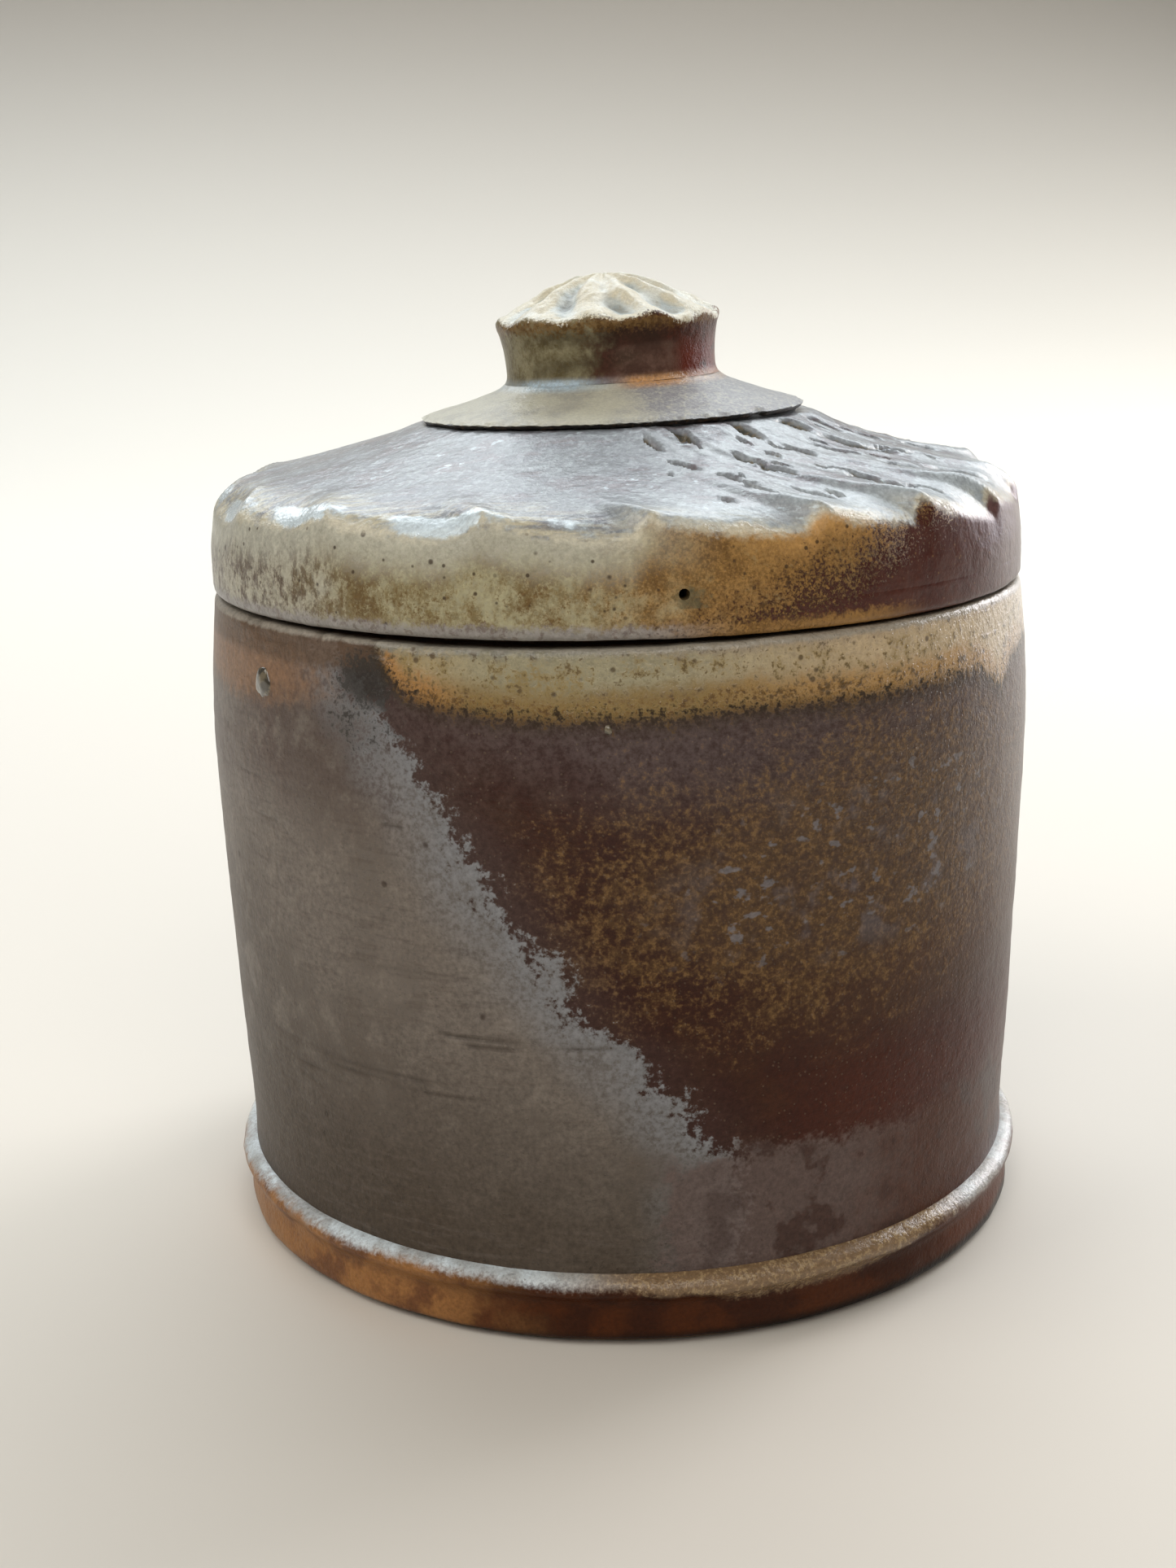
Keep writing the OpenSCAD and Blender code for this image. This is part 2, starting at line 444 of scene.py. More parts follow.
def mottled(tree, colour, grain, least, most):
    """A colour made darker and lighter by grain, from least to most of itself."""
    shade = add(tree, "MapRange", {0: grain, 1: 0.33, 2: 0.67, 3: least, 4: most})
    return add(tree, "Mix", {0: 1.0, 6: colour, 7: shade}, out=2, data_type="RGBA",
               blend_type="MULTIPLY")


def freckles(tree, place, size, spread, least):
    """Round specks of about size millimetres, spread millimetres apart, where chance
    exceeds least."""
    cells = {"Vector": place, "Scale": 1 / spread}
    near = add(tree, "TexVoronoi", cells)
    pick = add(tree, "SeparateColor", {0: add(tree, "TexVoronoi", cells, out=1)})
    dot = between(tree, near, 0.7 * size / spread, 0.35 * size / spread)
    return times(tree, dot, between(tree, pick, least, least + 0.02))


def fired(tree, colour, rough, height, depth, coat=0.0, coat_rough=0.1, gloss=0.35):
    """Ends a glaze: its colour, its roughness and its fine relief, depth in millimetres."""
    normal = add(tree, "Bump", {"Strength": 1.0, "Distance": depth * MM, "Height": height})
    glints = add(tree, "Bump", {"Strength": 1.0, "Distance": 2 * depth * MM, "Height": height})
    surface = add(tree, "BsdfPrincipled", {
        "Base Color": colour, "Roughness": rough, "Normal": normal,
        "IOR": 1.5, "Specular IOR Level": gloss,
        "Coat Weight": coat, "Coat Roughness": coat_rough, "Coat Normal": glints})
    add(tree, "OutputMaterial", {"Surface": surface})


def liner(tree, glaze, place):
    """Colour inside the pot: brown glaze pooled darker in the finger rings."""
    patch = cloud(tree, place, 9, 4, 0.6)
    return mottled(tree, over(tree, glaze.liner, sRGB("6a4a30"), between(tree, patch, 0.42, 0.62)),
                   cloud(tree, place, 0.8, 4, 0.65), 0.75, 1.2)


def bare_clay(tree, glaze, patch, fine):
    """Colour of the clay that no ash reached, under the base and the lid."""
    bare = over(tree, glaze.clay, sRGB("7a5a42"), between(tree, patch, 0.4, 0.65))
    return mottled(tree, bare, fine, 0.85, 1.12)


def neck_painted_highlight(tree, turn):
    """Colour of the glossy turn from collar to knob, blue on the left and copper on the right."""
    return over(tree, sRGB("a3b8c6"), sRGB("c8935a"), between(tree, turn, -8, 12))


def wall_glaze(glaze):
    """Wood-fired stoneware, unglazed outside and flashed by flame and ash: a satin iron
    skin with glassy specks, a matt grey lee with a frosty edge and an ash band at the rim."""
    material, tree, place = started("flashed_stoneware_wall")
    fine = cloud(tree, place, 0.6, 3, 0.7)
    grain = cloud(tree, place, 1.5, 4, 0.65)
    patch = cloud(tree, place, 6, 4, 0.6)
    broad = cloud(tree, place, 20, 3, 0.5)
    drag = cloud(tree, place, 0.7, 4, 0.6, (9, 9, 1))
    dust = mixture(tree, fine, 0.55, grain, 0.45)
    height = add(tree, "SeparateXYZ", {0: place}, out=2)
    turn = painted_value(tree, "turn")
    frost = painted_value(tree, "frost")
    ash = painted_value(tree, "ash")
    # Iron skin: maroon, browner to the right, redder low down, plum below the ash band.
    iron = over(tree, glaze.iron, sRGB("3b2012"), between(tree, patch, 0.4, 0.6))
    east = between(tree, pushed(tree, turn, broad, 30), 18, 62)
    iron = over(tree, iron, sRGB("4c3220"), times(tree, east, between(tree, height, 26, 44)))
    iron = over(tree, iron, sRGB("451c0c"),
                times(tree, between(tree, turn, 12, 34), between(tree, height, 38, 26)))
    high = times(tree, between(tree, pushed(tree, pushed(tree, height, patch, 12), turn, 0.25), 64, 76),
                 between(tree, turn, 76, 50))
    iron = over(tree, iron, sRGB("524442"), times(tree, high, between(tree, dust, 0.36, 0.56, 0.5, 1)))
    # Ochre mottling of thin ash, with blue-grey flecks in it.
    mottle = painted_value(tree, "mottle")
    spots = cloud(tree, place, 2.4, 3, 0.55, (1, 1, 0.7))
    ochre = broken(tree, mottle, mixture(tree, dust, 0.7, patch, 0.3), 3.6, 1.6)
    gaps = between(tree, mixture(tree, dust, 0.6, spots, 0.4), 0.38, 0.56)
    iron = over(tree, iron, sRGB("4b372a"), times(tree, between(tree, mottle, 0, 2.5), 0.8))
    iron = over(tree, iron, over(tree, sRGB("5a4226"), sRGB("765a36"), between(tree, fine, 0.46, 0.66)),
                times(tree, times(tree, ochre, 0.7), gaps))
    iron = over(tree, iron, sRGB("5c565a"),
                times(tree, between(tree, mottle, 0.5, 2.5), between(tree, patch, 0.52, 0.64, 0, 0.55)))
    fleck = times(tree, between(tree, spots, 0.6, 0.67), between(tree, mottle, 0.2, 2.2))
    iron = over(tree, iron, sRGB("6f6a6c"), times(tree, fleck, 0.85))
    # Painted reflection: a rosy-brown sheen over the iron towards the right edge, stronger higher up.
    painted_right_sheen = times(tree, between(tree, pushed(tree, turn, grain, 30), 56, 82),
                 between(tree, height, 24, 56, 0, 0.45))
    iron = over(tree, iron, sRGB("5f4a40"), painted_right_sheen)
    specks = freckles(tree, place, 0.24, 0.6, 0.62)
    iron = over(tree, iron, sRGB("7f6a55"), times(tree, specks, 0.3))
    # Grey lee side: taupe, darker towards the foot (partly its own colour, partly painted shade),
    # frosty beside the iron.
    grey = over(tree, glaze.grey, sRGB("463b30"),
                between(tree, pushed(tree, pushed(tree, height, patch, 16), turn, 0.25), 46, 8, 0, 0.95))
    grey = over(tree, grey, sRGB("5d534b"), between(tree, drag, 0.5, 0.66, 0, 0.5))
    plum = times(tree, between(tree, pushed(tree, height, patch, 16), 62, 74),
                 between(tree, broad, 0.36, 0.56, 0.35, 1))
    grey = over(tree, grey, sRGB("55463f"), times(tree, plum, 0.9))
    grey = over(tree, grey, sRGB("50463d"),
                times(tree, between(tree, broad, 0.5, 0.64, 0, 0.5), between(tree, dust, 0.42, 0.56)))
    # Darker again low on the left: partly the clay's colour, partly painted shade.
    grey = over(tree, grey, sRGB("4a3d31"),
                times(tree, between(tree, turn, -46, -64, 0, 0.55), between(tree, height, 58, 44)))
    grey = over(tree, grey, sRGB("786f66"),
                times(tree, between(tree, patch, 0.5, 0.66, 0, 0.5), between(tree, height, 22, 34)))
    bloom = between(tree, pushed(tree, frost, patch, 7), 14, 3.5)
    grey = over(tree, grey, glaze.frost, times(tree, bloom, between(tree, dust, 0.4, 0.54, 0.45, 1.0)))
    grey = over(tree, grey, sRGB("3b2f28"), times(tree, freckles(tree, place, 0.8, 5, 0.8), 0.8))
    lee = broken(tree, frost, mixture(tree, dust, 0.6, patch, 0.4), 5.0, 1.0)
    haze = times(tree, between(tree, pushed(tree, frost, dust, 8), -4, 4.5),
                 between(tree, height, 28, 52, 0.25, 0.55))
    iron = over(tree, iron, sRGB("4d3f3b"), haze)
    colour = over(tree, iron, grey, lee)
    # Purple-grey belt above the foot on the iron side, redder to the right.
    belt = broken(tree, painted_value(tree, "belt"), mixture(tree, patch, 0.6, dust, 0.4), 3.5, 1.4)
    stain = over(tree, sRGB("5f504b"), sRGB("4b2a1b"), between(tree, pushed(tree, turn, patch, 40), 46, 68))
    stain = over(tree, stain, sRGB("43302a"),
                 times(tree, between(tree, patch, 0.52, 0.6), between(tree, turn, 0, 22, 0.4, 0.9)))
    colour = over(tree, colour, stain, times(tree, belt, 0.9))
    # Brown blush and smoke left of the ash band.
    blush = between(tree, pushed(tree, painted_value(tree, "blush"), grain, 0.9), 0.35, 1.0)
    colour = over(tree, colour, glaze.orange, times(tree, blush, 0.85))
    soot = times(tree, between(tree, pushed(tree, height, grain, 2), 76.2, 77.6),
                 between(tree, turn, -22, -32))
    colour = over(tree, colour, sRGB("5d4836"), times(tree, soot, 0.85))
    smoke = between(tree, pushed(tree, painted_value(tree, "smoke"), dust, 3.0), 1.65, 2.1)
    colour = over(tree, colour, glaze.smoke, times(tree, smoke, 0.9))
    # Ash band: grey at the rim, ochre where it thins, dark where it stops.
    halo = between(tree, pushed(tree, ash, grain, 4), -1.0, 2.2)
    colour = over(tree, colour, sRGB("352814"), times(tree, halo, between(tree, dust, 0.4, 0.6, 0.9, 0.5)))
    band = broken(tree, ash, dust, 2.2, 0.8)
    thick = between(tree, pushed(tree, ash, plus(tree, patch, dust), 3.4), 4.8, 7.4)
    thin = over(tree, glaze.amber, sRGB("b08a54"), between(tree, turn, 6, 28))
    thin = over(tree, thin, sRGB("a97c44"), between(tree, turn, -17, -24))
    thin = over(tree, thin, sRGB("65481f"), between(tree, dust, 0.45, 0.58, 0, 0.9))
    body = over(tree, glaze.ash, sRGB("bda785"), between(tree, turn, 0, 34))
    body = over(tree, body, sRGB("a5946f"), between(tree, turn, -14, -26))
    body = over(tree, body, sRGB("86703f"),
                between(tree, mixture(tree, patch, 0.4, dust, 0.6), 0.49, 0.6, 0, 0.8))
    skin = over(tree, thin, body, thick)
    crown = over(tree, sRGB("807d70"), sRGB("b29d80"), between(tree, turn, -12, 40))
    skin = over(tree, skin, crown, between(tree, pushed(tree, height, grain, 3), 79.2, 80.6))
    skin = over(tree, skin, sRGB("3f2e16"), between(tree, dust, 0.53, 0.62, 0, 0.7))
    skin = over(tree, skin, sRGB("4c3a20"), times(tree, freckles(tree, place, 0.6, 1.6, 0.6), 0.8))
    colour = over(tree, colour, skin, band)
    # Worn, pale rim; brown liner inside.
    worn = between(tree, pushed(tree, painted_value(tree, "rim"), grain, 0.8), 0.95, 1.4)
    colour = over(tree, colour, sRGB("9a9488"), times(tree, worn, 0.75))
    scratch = painted_value(tree, "scratch")
    colour = over(tree, colour, sRGB("33291f"), times(tree, scratch, 0.6))
    colour = mottled(tree, mottled(tree, colour, fine, 0.78, 1.2), grain, 0.92, 1.08)
    inside = painted_value(tree, "inside")
    colour = over(tree, colour, liner(tree, glaze, place), inside)
    rough = between(tree, pushed(tree, lee, dust, 0.6), 0.2, 1.4, 0.34, 0.5)
    rough = add(tree, "Mix", {0: most_of(tree, band, inside), 2: rough, 3: 0.3}, out=0)
    relief = mixture(tree, fine, 0.45, grain, 0.8)
    relief = plus(tree, relief, mixture(tree, specks, 0.3, drag, 0.35))
    relief = pushed(tree, relief, scratch, -1.0)
    shine = most_of(tree, most_of(tree, times(tree, lee, 0.2), band), between(tree, height, 40, 64, 0, 0.3))
    fired(tree, colour, rough, relief, 0.17, times(tree, shine, 0.7), 0.12, 0.16)
    return material


def base_glaze(glaze):
    """The same stoneware on the base: orange to brown flashing on its side, silvery ash on
    the bead and bare clay with wire marks underneath."""
    material, tree, place = started("flashed_stoneware_base")
    fine = cloud(tree, place, 0.45, 3, 0.7)
    grain = cloud(tree, place, 1.5, 4, 0.65)
    patch = cloud(tree, place, 7, 4, 0.6)
    dust = mixture(tree, fine, 0.5, grain, 0.5)
    height = add(tree, "SeparateXYZ", {0: place}, out=2)
    turn = painted_value(tree, "turn")
    west = between(tree, pushed(tree, turn, patch, 20), 2, -22)
    east = between(tree, turn, 35, 60)
    side = over(tree, sRGB("36190a"), sRGB("48230c"), between(tree, patch, 0.42, 0.6))
    side = over(tree, side, sRGB("562a12"), east)
    side = over(tree, side,
                over(tree, sRGB("96693e"), sRGB("704a2f"), between(tree, patch, 0.46, 0.6)), west)
    side = over(tree, side, sRGB("2a1a10"), between(tree, dust, 0.56, 0.7, 0, 0.5))
    # Painted shadow: near black close to the table.
    side = over(tree, side, sRGB("120904"), between(tree, pushed(tree, height, turn, -0.015), 1.9, 0.5))
    # Silvery ash on the crest of the bead, gold in the middle of the front; the pale silver
    # is partly a painted highlight along the bead's upper face.
    crest = between(tree, pushed(tree, painted_value(tree, "bead"), dust, 2.6), 0.7, 2.0)
    gold = over(tree, sRGB("7d6448"), sRGB("a58c66"), between(tree, dust, 0.5, 0.62))
    silver = over(tree, sRGB("a3a5a4"), sRGB("ccd6db"), between(tree, patch, 0.42, 0.6))
    ends = most_of(tree, between(tree, pushed(tree, turn, patch, 16), 10, -6),
                   between(tree, turn, 44, 58, 0, 0.7))
    bead = over(tree, over(tree, gold, silver, ends), sRGB("4d4036"),
                between(tree, dust, 0.55, 0.68, 0, 0.6))
    colour = over(tree, side, bead, crest)
    colour = mottled(tree, colour, fine, 0.8, 1.2)
    under = painted_value(tree, "under")
    colour = over(tree, colour, bare_clay(tree, glaze, patch, fine), under)
    inside = painted_value(tree, "inside")
    colour = over(tree, colour, liner(tree, glaze, place), inside)
    rough = add(tree, "Mix", {0: crest, 2: 0.34, 3: 0.24}, out=0)
    rough = add(tree, "Mix", {0: under, 2: rough, 3: 0.8}, out=0)
    fired(tree, colour, rough, plus(tree, times(tree, fine, 0.4), grain), 0.16,
          times(tree, crest, 0.8), 0.12, 0.15)
    return material


def lid_glaze(glaze):
    """Wood-ash glaze on the lid: satin silver on top, cream where it breaks over the cut
    edge, and on the side khaki, then amber, then bare maroon iron away from the ash."""
    material, tree, place = started("ash_glaze_lid")
    fine = cloud(tree, place, 0.55, 3, 0.7)
    grain = cloud(tree, place, 1.2, 4, 0.65)
    streak = cloud(tree, place, 1.1, 4, 0.7, (1, 1, 1.7))
    dirt = cloud(tree, place, 0.35, 4, 0.8)
    stroke = cloud(tree, place, 0.8, 4, 0.65, (7, 1.2, 1.2))
    patch = cloud(tree, place, 5, 4, 0.6)
    dust = mixture(tree, fine, 0.5, grain, 0.5)
    height = add(tree, "SeparateXYZ", {0: place}, out=2)
    turn = painted_value(tree, "turn")
    edge = painted_value(tree, "cut_edge")
    # Side, from the windward left to the lee on the right.
    beige = over(tree, sRGB("a9a493"), sRGB("5b4d40"),
                 between(tree, mixture(tree, streak, 0.5, plus(tree, patch, dirt), 0.25), 0.44, 0.56))
    khaki = over(tree, sRGB("a49d7e"), sRGB("80704c"),
                 between(tree, mixture(tree, streak, 0.4, plus(tree, patch, dirt), 0.3), 0.42, 0.58))
    khaki = over(tree, khaki, sRGB("604b2b"),
                 between(tree, mixture(tree, dust, 0.5, plus(tree, patch, dirt), 0.25), 0.5, 0.58, 0, 0.9))
    khaki = over(tree, khaki, sRGB("b0aa8e"),
                 between(tree, mixture(tree, fine, 0.6, patch, 0.4), 0.46, 0.34, 0, 0.75))
    side = over(tree, beige, khaki, between(tree, pushed(tree, turn, patch, 40), -32, -4))
    amber = over(tree, sRGB("a07a45"), sRGB("5f431f"),
                 between(tree, mixture(tree, dirt, 0.6, patch, 0.4), 0.42, 0.6, 0, 0.85))
    amber = over(tree, amber, sRGB("ab9a70"),
                 between(tree, mixture(tree, dust, 0.4, plus(tree, patch, dirt), 0.3), 0.47, 0.36, 0, 0.6))
    side = over(tree, side, amber, between(tree, pushed(tree, turn, patch, 40), 8, 36))
    rise = pushed(tree, edge, plus(tree, patch, dirt), 3)
    side = over(tree, side, sRGB("b9b8aa"),
                times(tree, between(tree, rise, -2.6, 1.6, 0, 0.75), between(tree, turn, 14, -6)))
    side = over(tree, side, sRGB("cb9c5e"),
                times(tree, between(tree, rise, -1.5, 2.5, 0, 0.8), between(tree, turn, 12, 26)))
    dots = most_of(tree, freckles(tree, place, 0.4, 1.1, 0.78), freckles(tree, place, 0.62, 2.6, 0.62))
    side = over(tree, side, sRGB("3a2b1e"), times(tree, dots, 0.85))
    away = painted_value(tree, "lee")
    lee = broken(tree, away, mixture(tree, dirt, 0.75, patch, 0.25), 12, 3.5)
    side = over(tree, side, sRGB("6a4a27"),
                times(tree, between(tree, away, -11, 0), between(tree, dirt, 0.4, 0.58, 0.4, 0.9)))
    maroon = over(tree, sRGB("451f16"), sRGB("4d291f"), between(tree, patch, 0.4, 0.6))
    # Painted reflection: a pale pinkish sheen high on the right of the maroon side.
    maroon = over(tree, maroon, sRGB("7c6464"),
                  times(tree, between(tree, height, 86, 92, 0, 0.5), between(tree, turn, 42, 62)))
    maroon = over(tree, maroon, sRGB("8a6a3c"), times(tree, freckles(tree, place, 0.24, 0.7, 0.7), 0.4))
    side = over(tree, side, maroon, lee)
    foot = broken(tree, painted_value(tree, "foot"), dust, 0.8, 0.5)
    lilac = over(tree, sRGB("908c8a"), sRGB("6f6663"), between(tree, grain, 0.52, 0.64))
    side = over(tree, side, over(tree, lilac, sRGB("96703b"), between(tree, turn, 2, 16)),
                times(tree, foot, between(tree, turn, 44, 30, 0, 0.85)))
    # Top, silvery satin, with painted highlights of pale gleams along the cuts and cream towards the edge.
    top = over(tree, glaze.silver, sRGB("74787d"),
               between(tree, pushed(tree, turn, patch, 30), 34, 6, 0, 0.85))
    top = over(tree, top, sRGB("64646b"), between(tree, patch, 0.42, 0.62, 0, 0.9))
    top = over(tree, top, sRGB("75696c"),
               between(tree, mixture(tree, patch, 0.5, stroke, 0.5), 0.5, 0.6, 0, 0.7))
    top = over(tree, top, sRGB("aeb9be"), between(tree, dust, 0.48, 0.62, 0, 0.35))
    # Painted highlight: paler blue-grey near the edge of the top, right of the front.
    top = over(tree, top, sRGB("b3bcc0"), times(tree, between(tree, edge, 12, 3, 0, 0.6),
                                                between(tree, pushed(tree, turn, stroke, 40), 12, 30)))
    # Painted reflection: pale blue streaks of glint across the top.
    painted_glint = times(tree, between(tree, mixture(tree, stroke, 0.6, grain, 0.4), 0.57, 0.64),
                  between(tree, patch, 0.46, 0.58))
    top = over(tree, top, sRGB("cbdbe4"), times(tree, painted_glint, 0.8))
    warm = between(tree, plus(tree, pushed(tree, edge, patch, 10), between(tree, turn, -20, 10, 0, 5)), 15,
                   5)
    top = over(tree, top, sRGB("b9ae8c"), times(tree, warm, between(tree, stroke, 0.42, 0.58, 0.1, 0.85)))
    crest = broken(tree, edge, mixture(tree, dust, 0.5, patch, 0.5), 1.3, 0.5)
    colour = over(tree, side, top, crest)
    lip = between(tree, pushed(tree, add(tree, "Math", {0: edge}, operation="ABSOLUTE"),
                               plus(tree, grain, patch), 2.4), 3.5, 2.0)
    colour = over(tree, colour, glaze.cream, times(tree, lip, 0.8))
    # Glossy pools of glaze above the cut edge, their pale blue-white colour a painted reflection.
    pool = between(tree, pushed(tree, painted_value(tree, "pool"), plus(tree, grain, patch), 0.7), 0.95,
                   1.35)
    colour = over(tree, colour, sRGB("cfdde4"), times(tree, pool, 0.9))
    tear = painted_value(tree, "tear")
    deep = between(tree, pushed(tree, tear, dust, 1.1), 0.75, 1.15)
    colour = over(tree, colour, over(tree, sRGB("33301f"), sRGB("5f4f30"), between(tree, dust, 0.47, 0.58)),
                  times(tree, deep, 0.92))
    burnt = between(tree, pushed(tree, painted_value(tree, "vent"), dust, 2.6), 1.6, 2.1)
    colour = over(tree, colour, sRGB("58543e"), times(tree, burnt, 0.75))
    colour = mottled(tree, mottled(tree, colour, fine, 0.82, 1.17), grain, 0.92, 1.08)
    under = painted_value(tree, "under")
    colour = over(tree, colour, bare_clay(tree, glaze, patch, fine), under)
    rough = add(tree, "Mix", {0: crest, 2: 0.3, 3: 0.38}, out=0)
    rough = add(tree, "Mix", {0: pool, 2: rough, 3: 0.15}, out=0)
    rough = add(tree, "Mix", {0: under, 2: rough, 3: 0.8}, out=0)
    relief = times(tree, plus(tree, times(tree, fine, 0.4), grain),
                   between(tree, most_of(tree, lee, crest), 0, 1, 1, 0.4))
    wet = most_of(tree, times(tree, crest, 0.6), most_of(tree, pool, times(tree, lip, 0.6)))
    fired(tree, colour, rough, relief, 0.2, times(tree, wet, between(tree, under, 1, 0)), 0.13, 0.25)
    return material


def ring_clay(glaze):
    """Bare wood-fired stoneware on the locating ring: matt, gritty and faintly flashed."""
    material, tree, place = started("bare_stoneware_ring")
    grain = cloud(tree, place, 0.8, 4, 0.7)
    patch = cloud(tree, place, 9, 4, 0.6)
    colour = over(tree, glaze.clay, sRGB("6f4c35"), between(tree, patch, 0.4, 0.65))
    colour = over(tree, colour, sRGB("a58a70"), between(tree, grain, 0.55, 0.7, 0, 0.5))
    fired(tree, mottled(tree, colour, grain, 0.85, 1.12), 0.78, grain, 0.12)
    return material


def collar_glaze():
    """Thin pale ash on the collar, cream on the left and lilac grey on the right, with a
    dark torn edge and a gloss where it turns up into the knob."""
    material, tree, place = started("ash_glaze_collar")
    fine = cloud(tree, place, 0.35, 3, 0.7)
    grain = cloud(tree, place, 1.0, 4, 0.65)
    patch = cloud(tree, place, 5, 4, 0.6)
    dust = mixture(tree, fine, 0.5, grain, 0.5)
    turn = painted_value(tree, "turn")
    colour = over(tree, sRGB("bab7a5"), sRGB("a5a296"), between(tree, patch, 0.4, 0.65))
    lilac = over(tree, sRGB("8d8c8f"), sRGB("a2a3a3"), between(tree, dust, 0.42, 0.6))
    colour = over(tree, colour, lilac, between(tree, pushed(tree, turn, patch, 40), 12, 44))
    colour = over(tree, colour, sRGB("b9b49e"), between(tree, dust, 0.5, 0.62, 0, 0.5))
    # Painted highlight where the collar turns up into the knob, over its real gloss.
    neck = painted_value(tree, "neck")
    colour = over(tree, colour, neck_painted_highlight(tree, turn),
                  times(tree, neck, between(tree, dust, 0.35, 0.6, 0.5, 0.95)))
    # Dark torn edge: bare clay, with painted shade along its foot where it meets the lid.
    torn = between(tree, pushed(tree, painted_value(tree, "torn"), dust, 0.9), 0.75, 1.05)
    colour = over(tree, colour,
                  over(tree, sRGB("1f1912"), sRGB("4a3722"), between(tree, dust, 0.5, 0.6)), torn)
    rough = between(tree, neck, 0, 1, 0.4, 0.22)
    fired(tree, mottled(tree, colour, fine, 0.88, 1.12), rough,
          plus(tree, times(tree, fine, 0.4), grain), 0.12, most_of(tree, neck, 0.12), 0.14, 0.3)
    return material


def knob_glaze(glaze):
    """Ash glaze on the knob: cream on the carved crown with blue-grey hollows, olive on
    the left of its side, and maroon iron on the right."""
    material, tree, place = started("ash_glaze_knob")
    fine = cloud(tree, place, 0.35, 3, 0.7)
    grain = cloud(tree, place, 0.9, 4, 0.65)
    patch = cloud(tree, place, 3.5, 4, 0.6)
    dust = mixture(tree, fine, 0.5, grain, 0.5)
    turn = painted_value(tree, "turn")
    olive = over(tree, sRGB("938b6e"), sRGB("5e5234"),
                 between(tree, mixture(tree, dust, 0.6, patch, 0.4), 0.38, 0.62))
    brown = over(tree, sRGB("3d241b"), sRGB("523027"), between(tree, patch, 0.4, 0.6))
    brown = over(tree, brown, sRGB("642510"),
                 times(tree, between(tree, turn, 22, 48), between(tree, patch, 0.36, 0.5)))
    side = over(tree, olive, brown, between(tree, pushed(tree, turn, plus(tree, patch, grain), 26), 4, 30))
    side = over(tree, side, sRGB("6d5448"), times(tree, between(tree, painted_value(tree, "waist"), 0, 1),
                                                  between(tree, patch, 0.4, 0.55, 0.3, 0.9)))
    belt = broken(tree, painted_value(tree, "belt"), mixture(tree, patch, 0.5, dust, 0.5), 1.4, 1.8)
    side = over(tree, side, sRGB("2f2213"), times(tree, belt, between(tree, dust, 0.6, 0.44, 0.35, 0.8)))
    rust = broken(tree, painted_value(tree, "under_rim"), dust, 1.2, 0.6)
    side = over(tree, side, over(tree, sRGB("7d6038"), sRGB("5d4220"), between(tree, grain, 0.45, 0.6)),
                times(tree, rust, 0.85))
    # Painted highlight on the glossy neck of the knob, over its real gloss.
    neck = painted_value(tree, "neck")
    side = over(tree, side, neck_painted_highlight(tree, turn),
                times(tree, neck, between(tree, dust, 0.35, 0.6, 0.6, 1.0)))
    hollow = painted_value(tree, "hollow")
    crown = over(tree, glaze.cream, sRGB("aab2b0"),
                 between(tree, pushed(tree, hollow, patch, 1.0), 0.75, 1.2))
    # Painted reflection: whitish-blue patches over the cream of the crown.
    crown = over(tree, crown, sRGB("dcdcd1"), between(tree, patch, 0.44, 0.6, 0, 0.7))
    pits = between(tree, pushed(tree, hollow, plus(tree, patch, dust), 0.9), 1.55, 1.95)
    crown = over(tree, crown, over(tree, sRGB("6f7473"), sRGB("6b6446"), between(tree, turn, -4, 20)),
                 times(tree, pits, 0.75))
    rim = broken(tree, painted_value(tree, "crown"), dust, 0.7, 0.25)
    colour = mottled(tree, over(tree, side, crown, rim), fine, 0.88, 1.12)
    fired(tree, colour, add(tree, "Mix", {0: rim, 2: 0.34, 3: 0.36}, out=0),
          plus(tree, times(tree, fine, 0.4), grain), 0.14,
          most_of(tree, neck, times(tree, rim, 0.4)), 0.12, 0.15)
    return material


def drop_glass():
    """A drip of melted ash from the kiln roof: greenish brown glass over dark clay."""
    material, tree, place = started("kiln_drip_glass")
    patch = cloud(tree, place, 1.2, 3, 0.6)
    colour = over(tree, sRGB("3f3a30"), sRGB("6e6451"), between(tree, patch, 0.45, 0.6))
    fired(tree, colour, 0.1, patch, 0.03, 0.6, 0.03, 0.5)
    return material


# --- pieces -----------------------------------------------------------------------

def wall_rule(shape):
    """Belly, warp, finger rings, waved rim and chips of the wall."""
    warp = shape.warp / MM
    throwing = shape.throwing / MM

    def rule(turn, radius, height):
        place = spot(turn, WALL_R, height)
        outside = clamp((radius - MOUTH_R) / (WALL_R - MOUTH_R))
        near_rim = ease(RIM - 5, RIM - 0.5, height)
        out = outside * (along(WALL_LINE, height) - WALL_R)
        out += warp * bumps(spot(turn, 30, height * 0.4), 26, shape.seed)
        out += outside * (0.09 * bumps(place, 9, 1) + 0.035 * bumps(place, 2.2, 2))
        rings = finger_ridges(turn, height, 6.5)
        out += (1 - outside) * throwing * (rings - 1) * ease(RIM - 3, RIM - 8, height)
        out += outside * 0.04 * bumps(Vector((place.x / 8, place.y / 8, height)), 1.6, 3)
        lift = near_rim * (SEAT - RIM - along(RIM_GAP, turn) + 0.06 * bumps(place, 3, 4))
        flake = ease(0.05, 0.5, bumps(place, 2.4, 5)) * ease(22, 10, abs(apart(turn, -42)))
        flake += 0.5 * ease(0.5, 0.75, bumps(place, 3.2, 6))
        flake *= ease(RIM - 2.4, RIM - 0.6, height) * outside
        return radius + out - 0.5 * flake, height + lift - 0.35 * flake

    return rule


